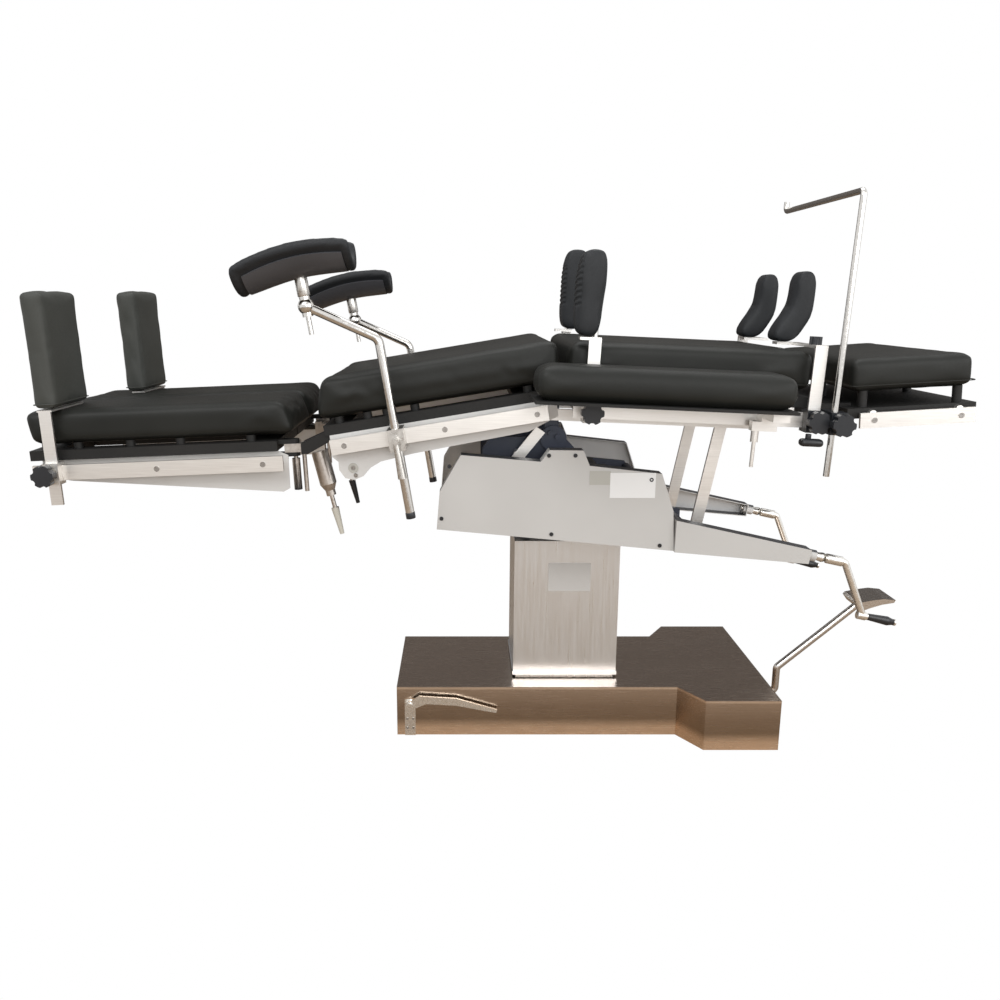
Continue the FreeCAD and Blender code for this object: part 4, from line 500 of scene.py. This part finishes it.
def trough_sheet(name, x0, y0, mid, radius, half_turn, length, thick, rows=14, turns=18):
    """A half pipe that narrows a little at both ends, and the points of its rim."""
    points = []
    for row in range(rows + 1):
        share = row / rows
        swell = 1 - 0.10 * abs(2 * share - 1) ** 3
        for step in range(turns + 1):
            angle = math.radians(-90 + half_turn - 2 * half_turn * step / turns)
            along = length[0] + (length[1] - length[0]) * share
            sag = 0.07 * along - 0.016 * (2 * share - 1) ** 2
            points.append((x0 + along, y0 + radius * swell * math.cos(angle),
                           mid + sag + radius * swell * math.sin(angle)))
    wide = turns + 1
    faces = [(r * wide + s, (r + 1) * wide + s, (r + 1) * wide + s + 1, r * wide + s + 1)
             for r in range(rows) for s in range(turns)]
    mesh = bpy.data.meshes.new(name)
    mesh.from_pydata(points, [], faces)
    shell = bpy.data.objects.new(name, mesh)
    scene.collection.objects.link(shell)
    made = shell.modifiers.new("Solid", "SOLIDIFY")
    made.thickness, made.offset = thick, 0
    apply_all(shell)
    outward(shell)
    rim = points[:wide] + [points[r * wide + turns] for r in range(1, rows)]
    rim += points[rows * wide:][::-1] + [points[r * wide] for r in range(rows - 1, 0, -1)]
    return shell, rim


def trough(word, side):
    """A padded half pipe for a lower leg with a thick soft rim, in its moulded shell, on its hub."""
    x0 = CRUTCH_X[word] - 0.134
    base = 0.304 - CRUTCH_DROP[word]
    y0 = CRUTCH_Y * side
    middle = base + 0.1085
    liner, rim = trough_sheet(f"trough_{word}", x0, y0, middle, 0.0610, 76, (-0.120, 0.106), 0.012)
    roll = seam(f"trough_rim_{word}", rim, 0.0115)
    liner = join(f"trough_{word}", [liner, roll])
    inflate(liner, 0.004, 3.0, 0.0015)
    settle(liner, "seat", f"crutch_trough_{word}", "pad_slate")
    shell = trough_sheet(f"trough_shell_{word}", x0, y0, middle, 0.0705, 62, (-0.105, 0.098), 0.004)[0]
    smooth(shell)
    settle(shell, "seat", f"crutch_trough_{word}", "pad_slate", "trough_shell")
    clear()
    bpy.ops.mesh.primitive_cylinder_add(vertices=48, radius=0.013, depth=0.046,
                                        location=(x0, y0, base + 0.023))
    hub = bpy.context.object
    hub.name = f"trough_hub_{word}"
    bpy.ops.object.transform_apply(location=True, rotation=True, scale=True)
    round_edges(hub, 0.002, 2)
    smooth(hub)
    settle(hub, "seat", f"crutch_trough_{word}", "clamp_cast")
    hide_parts(f"crutch_trough_{word}")


for word, side in SIDES:
    lateral(word, side)
    shoulder(word, side)
    trough(word, side)


# Screws on the rails and covers

def screw(x, y, z, side, radius):
    """A countersunk screw head with a hex socket, its face towards one side."""
    clear()
    thick = 0.0016
    bpy.ops.mesh.primitive_cylinder_add(vertices=32, radius=radius, depth=thick,
                                        location=(x, y + side * thick / 2, z),
                                        rotation=(math.radians(-90 * side), 0, 0))
    head = bpy.context.object
    bpy.ops.object.mode_set(mode="EDIT")
    bpy.ops.mesh.select_all(action="DESELECT")
    bpy.ops.object.mode_set(mode="OBJECT")
    for face in head.data.polygons:
        face.select = face.normal.z > 0.9
    bpy.ops.object.mode_set(mode="EDIT")
    bpy.ops.mesh.inset(thickness=radius * 0.12, depth=0)
    bpy.ops.mesh.inset(thickness=radius * 0.4, depth=0)
    bpy.ops.mesh.inset(thickness=0.0001, depth=-0.0011)
    bpy.ops.object.mode_set(mode="OBJECT")
    bpy.ops.object.transform_apply(location=True, rotation=True, scale=True)
    return head


def screws(name, section, body, places, y, slot, radius=0.006, sides=(-1, 1), look="screw_steel"):
    """Screw heads at places along and up a face, joined to one piece."""
    heads = [screw(x, y * side, z, side, radius) for x, z in places for side in sides]
    made = join(name, heads)
    smooth(made)
    settle(made, section, body, slot, look)


def rail_screws(name, section, body, along, **values):
    """A row of screw heads on the middle line of a section's rails."""
    screws(name, section, body, [(x, RAIL_MIDDLE) for x in along], RAIL_FACE, "rail_stainless", **values)


rail_screws("seat_rail_screws", "seat", "seat", (-0.47, -0.25, -0.05))
rail_screws("head_rail_screws", "head", "head", (0.03, 0.215))
for word, side in SIDES:
    rail_screws(f"leg_rail_screws_{word}", "leg", f"leg_{word}", (-0.5, -0.26, -0.03), sides=(side,))
screws("cover_screws", "world", "carriage",
       [(-0.280, 0.678), (-0.298, 0.560), (-0.062, 0.702), (-0.004, 0.702), (0.165, 0.648),
        (-0.053, 0.524), (0.190, 0.498)], COVER_FACE, "clamp_black", 0.0045, look="clamp_black")
plate_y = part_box("seat_side_plates")[1].y
boss = (-0.4625, -0.0700)
screws("seat_plate_boss", "seat", "seat", [boss], plate_y, "plate_paint", 0.011, look="label_grey")
screws("seat_plate_bolts", "seat", "seat", [boss, (-0.4600, -0.0870)], plate_y + 0.0004,
       "plate_paint", 0.0045, sides=(-1,))


# Plain plates on the cover and the column

for name, low, high, body, slot, look in (
        ("cover_label_small", (0.0287, -0.2376, 0.6364), (0.0748, -0.2369, 0.6678),
         "carriage", "cover_paint", "label_grey"),
        ("cover_label_big", (0.0739, -0.2379, 0.6070), (0.1743, -0.2369, 0.6633),
         "carriage", "cover_paint", "label_place"),
        ("column_label", (-0.0445, -0.1055, 0.347), (0.0572, -0.1044, 0.417),
         "lift", "column_stainless", "column_label")):
    settle(block(name, low, high), "world", body, slot, look)


# Brake strap, post tips, the arm board's knob, and the cranks' sleeves and eyes


def turned(name, along, start, length, radius):
    """A round rod from a start along x or z."""
    clear()
    way, turn = {"x": ((1, 0, 0), (0, math.pi / 2, 0)), "z": ((0, 0, 1), (0, 0, 0))}[along]
    bpy.ops.mesh.primitive_cylinder_add(vertices=40, radius=radius, depth=length,
                                        location=Vector(start) + Vector(way) * (length / 2), rotation=turn)
    obj = bpy.context.object
    obj.name = name
    bpy.ops.object.transform_apply(location=True, rotation=True, scale=True)
    round_edges(obj, 0.001, 2)
    smooth(obj)
    return obj


strap_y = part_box("brake_lever")[1].y + 0.0005
paint("base_cover", "nickel", "world", lambda p, n: p.y < strap_y + 0.0004 and -0.40 < p.x < -0.355)
screws("brake_screws", "world", "base", [(x, z) for z in (0.020, 0.044) for x in (-0.385, -0.371)],
       -strap_y, "base_stainless", 0.0028, sides=(-1,))
for word, side in SIDES:
    foot = (CRUTCH_X[word], CRUTCH_Y * side, -0.1895 - CRUTCH_DROP[word])
    tip = turned(f"post_tip_{word}", "z", foot, 0.014, 0.0103)
    settle(tip, "seat", f"crutch_post_{word}", "clamp_black")
grip = block("under_knob", (0.504, -0.322, -0.066), (0.552, -0.298, -0.050), 0.007, 4)
knob = join("under_knob", [grip, turned("under_knob_stem", "z", (0.521, -0.310, -0.052), 0.012, 0.006)])
smooth(knob)
settle(knob, "back", "back", "clamp_black")
for word, side in SIDES:
    sleeve = turned(f"crank_sleeve_{word}", "x", (0.018, CRANK_Y * side, 0), 0.038, 0.0112)
    settle(sleeve, "crank", f"crank_{word}", "rod_stainless", "nickel")
    eye = turned(f"crank_eye_{word}", "x", (0.128, CRANK_Y * side, -0.113), 0.020, 0.0098)
    settle(eye, "crank", f"crank_{word}", "rod_stainless", "nickel")


# Camera, light and background

camera = bpy.data.cameras.new("camera")
camera.lens, camera.sensor_width, camera.shift_x = 32.137, 36.0, 0.0369
camera.clip_end = 50
viewer = bpy.data.objects.new("camera", camera)
viewer.location = (-0.25, -2.165, 1.034)
viewer.rotation_euler = (math.radians(90 - 12.622), 0, 0)
scene.collection.objects.link(viewer)
scene.camera = viewer


def lamp(name, where, aim, size, power):
    """A square lamp at one place, aimed at another."""
    data = bpy.data.lights.new(name, "AREA")
    data.shape, data.size, data.energy = "SQUARE", size, power
    obj = bpy.data.objects.new(name, data)
    obj.location = where
    obj.rotation_euler = (Vector(aim) - Vector(where)).to_track_quat("-Z", "Y").to_euler()
    scene.collection.objects.link(obj)


lamp("key", (-1.6, -2.6, 3.4), (0, 0, 0.6), 2.4, 68)
lamp("front", (0.3, -3.4, 1.6), (0.1, 0.2, 0.65), 0.9, 20)
lamp("fill", (2.4, -2.2, 1.8), (0, 0, 0.6), 2.0, 36)
lamp("top", (0.2, 0.8, 3.6), (0, 0, 0.7), 2.6, 35)

for name, size, where, turn, look in (
        ("floor", 9, (0, 0, -0.002), (0, 0, 0), ((0.30, 0.22, 0.15), (0.34, 0.25, 0.17))),
        ("card", 6, (0, 3.2, 2.2), (math.pi / 2, 0, 0), ((0.12, 0.105, 0.095), (0.14, 0.125, 0.115)))):
    clear()
    bpy.ops.mesh.primitive_plane_add(size=size, location=where, rotation=turn)
    made = bpy.context.object
    made.name = name
    made.data.materials.append(coat(name, *look, 0.6, 30.0, 0.02))
    made.visible_camera = False

world = bpy.data.worlds.new("world")
scene.world = world
world.use_nodes = True
tree = world.node_tree
back = tree.nodes["Background"]
white = tree.nodes.new("ShaderNodeBackground")
white.inputs["Color"].default_value = (1, 1, 1, 1)
back.inputs["Color"].default_value = (0.75, 0.77, 0.8, 1)
back.inputs["Strength"].default_value = 0.85
path = tree.nodes.new("ShaderNodeLightPath")
mix = tree.nodes.new("ShaderNodeMixShader")
seen = path.outputs["Is Camera Ray"]
for kind in ("Is Glossy Ray", "Is Transmission Ray"):
    either = node(tree, "ShaderNodeMath", operation="MAXIMUM")
    tree.links.new(seen, either.inputs[0])
    tree.links.new(path.outputs[kind], either.inputs[1])
    seen = either.outputs[0]
tree.links.new(seen, mix.inputs["Fac"])
tree.links.new(back.outputs["Background"], mix.inputs[1])
tree.links.new(white.outputs["Background"], mix.inputs[2])
tree.links.new(mix.outputs["Shader"], tree.nodes["World Output"].inputs["Surface"])

scene.view_settings.view_transform = "Standard"
scene.view_settings.look = "None"
scene.render.resolution_x = scene.render.resolution_y = 1000
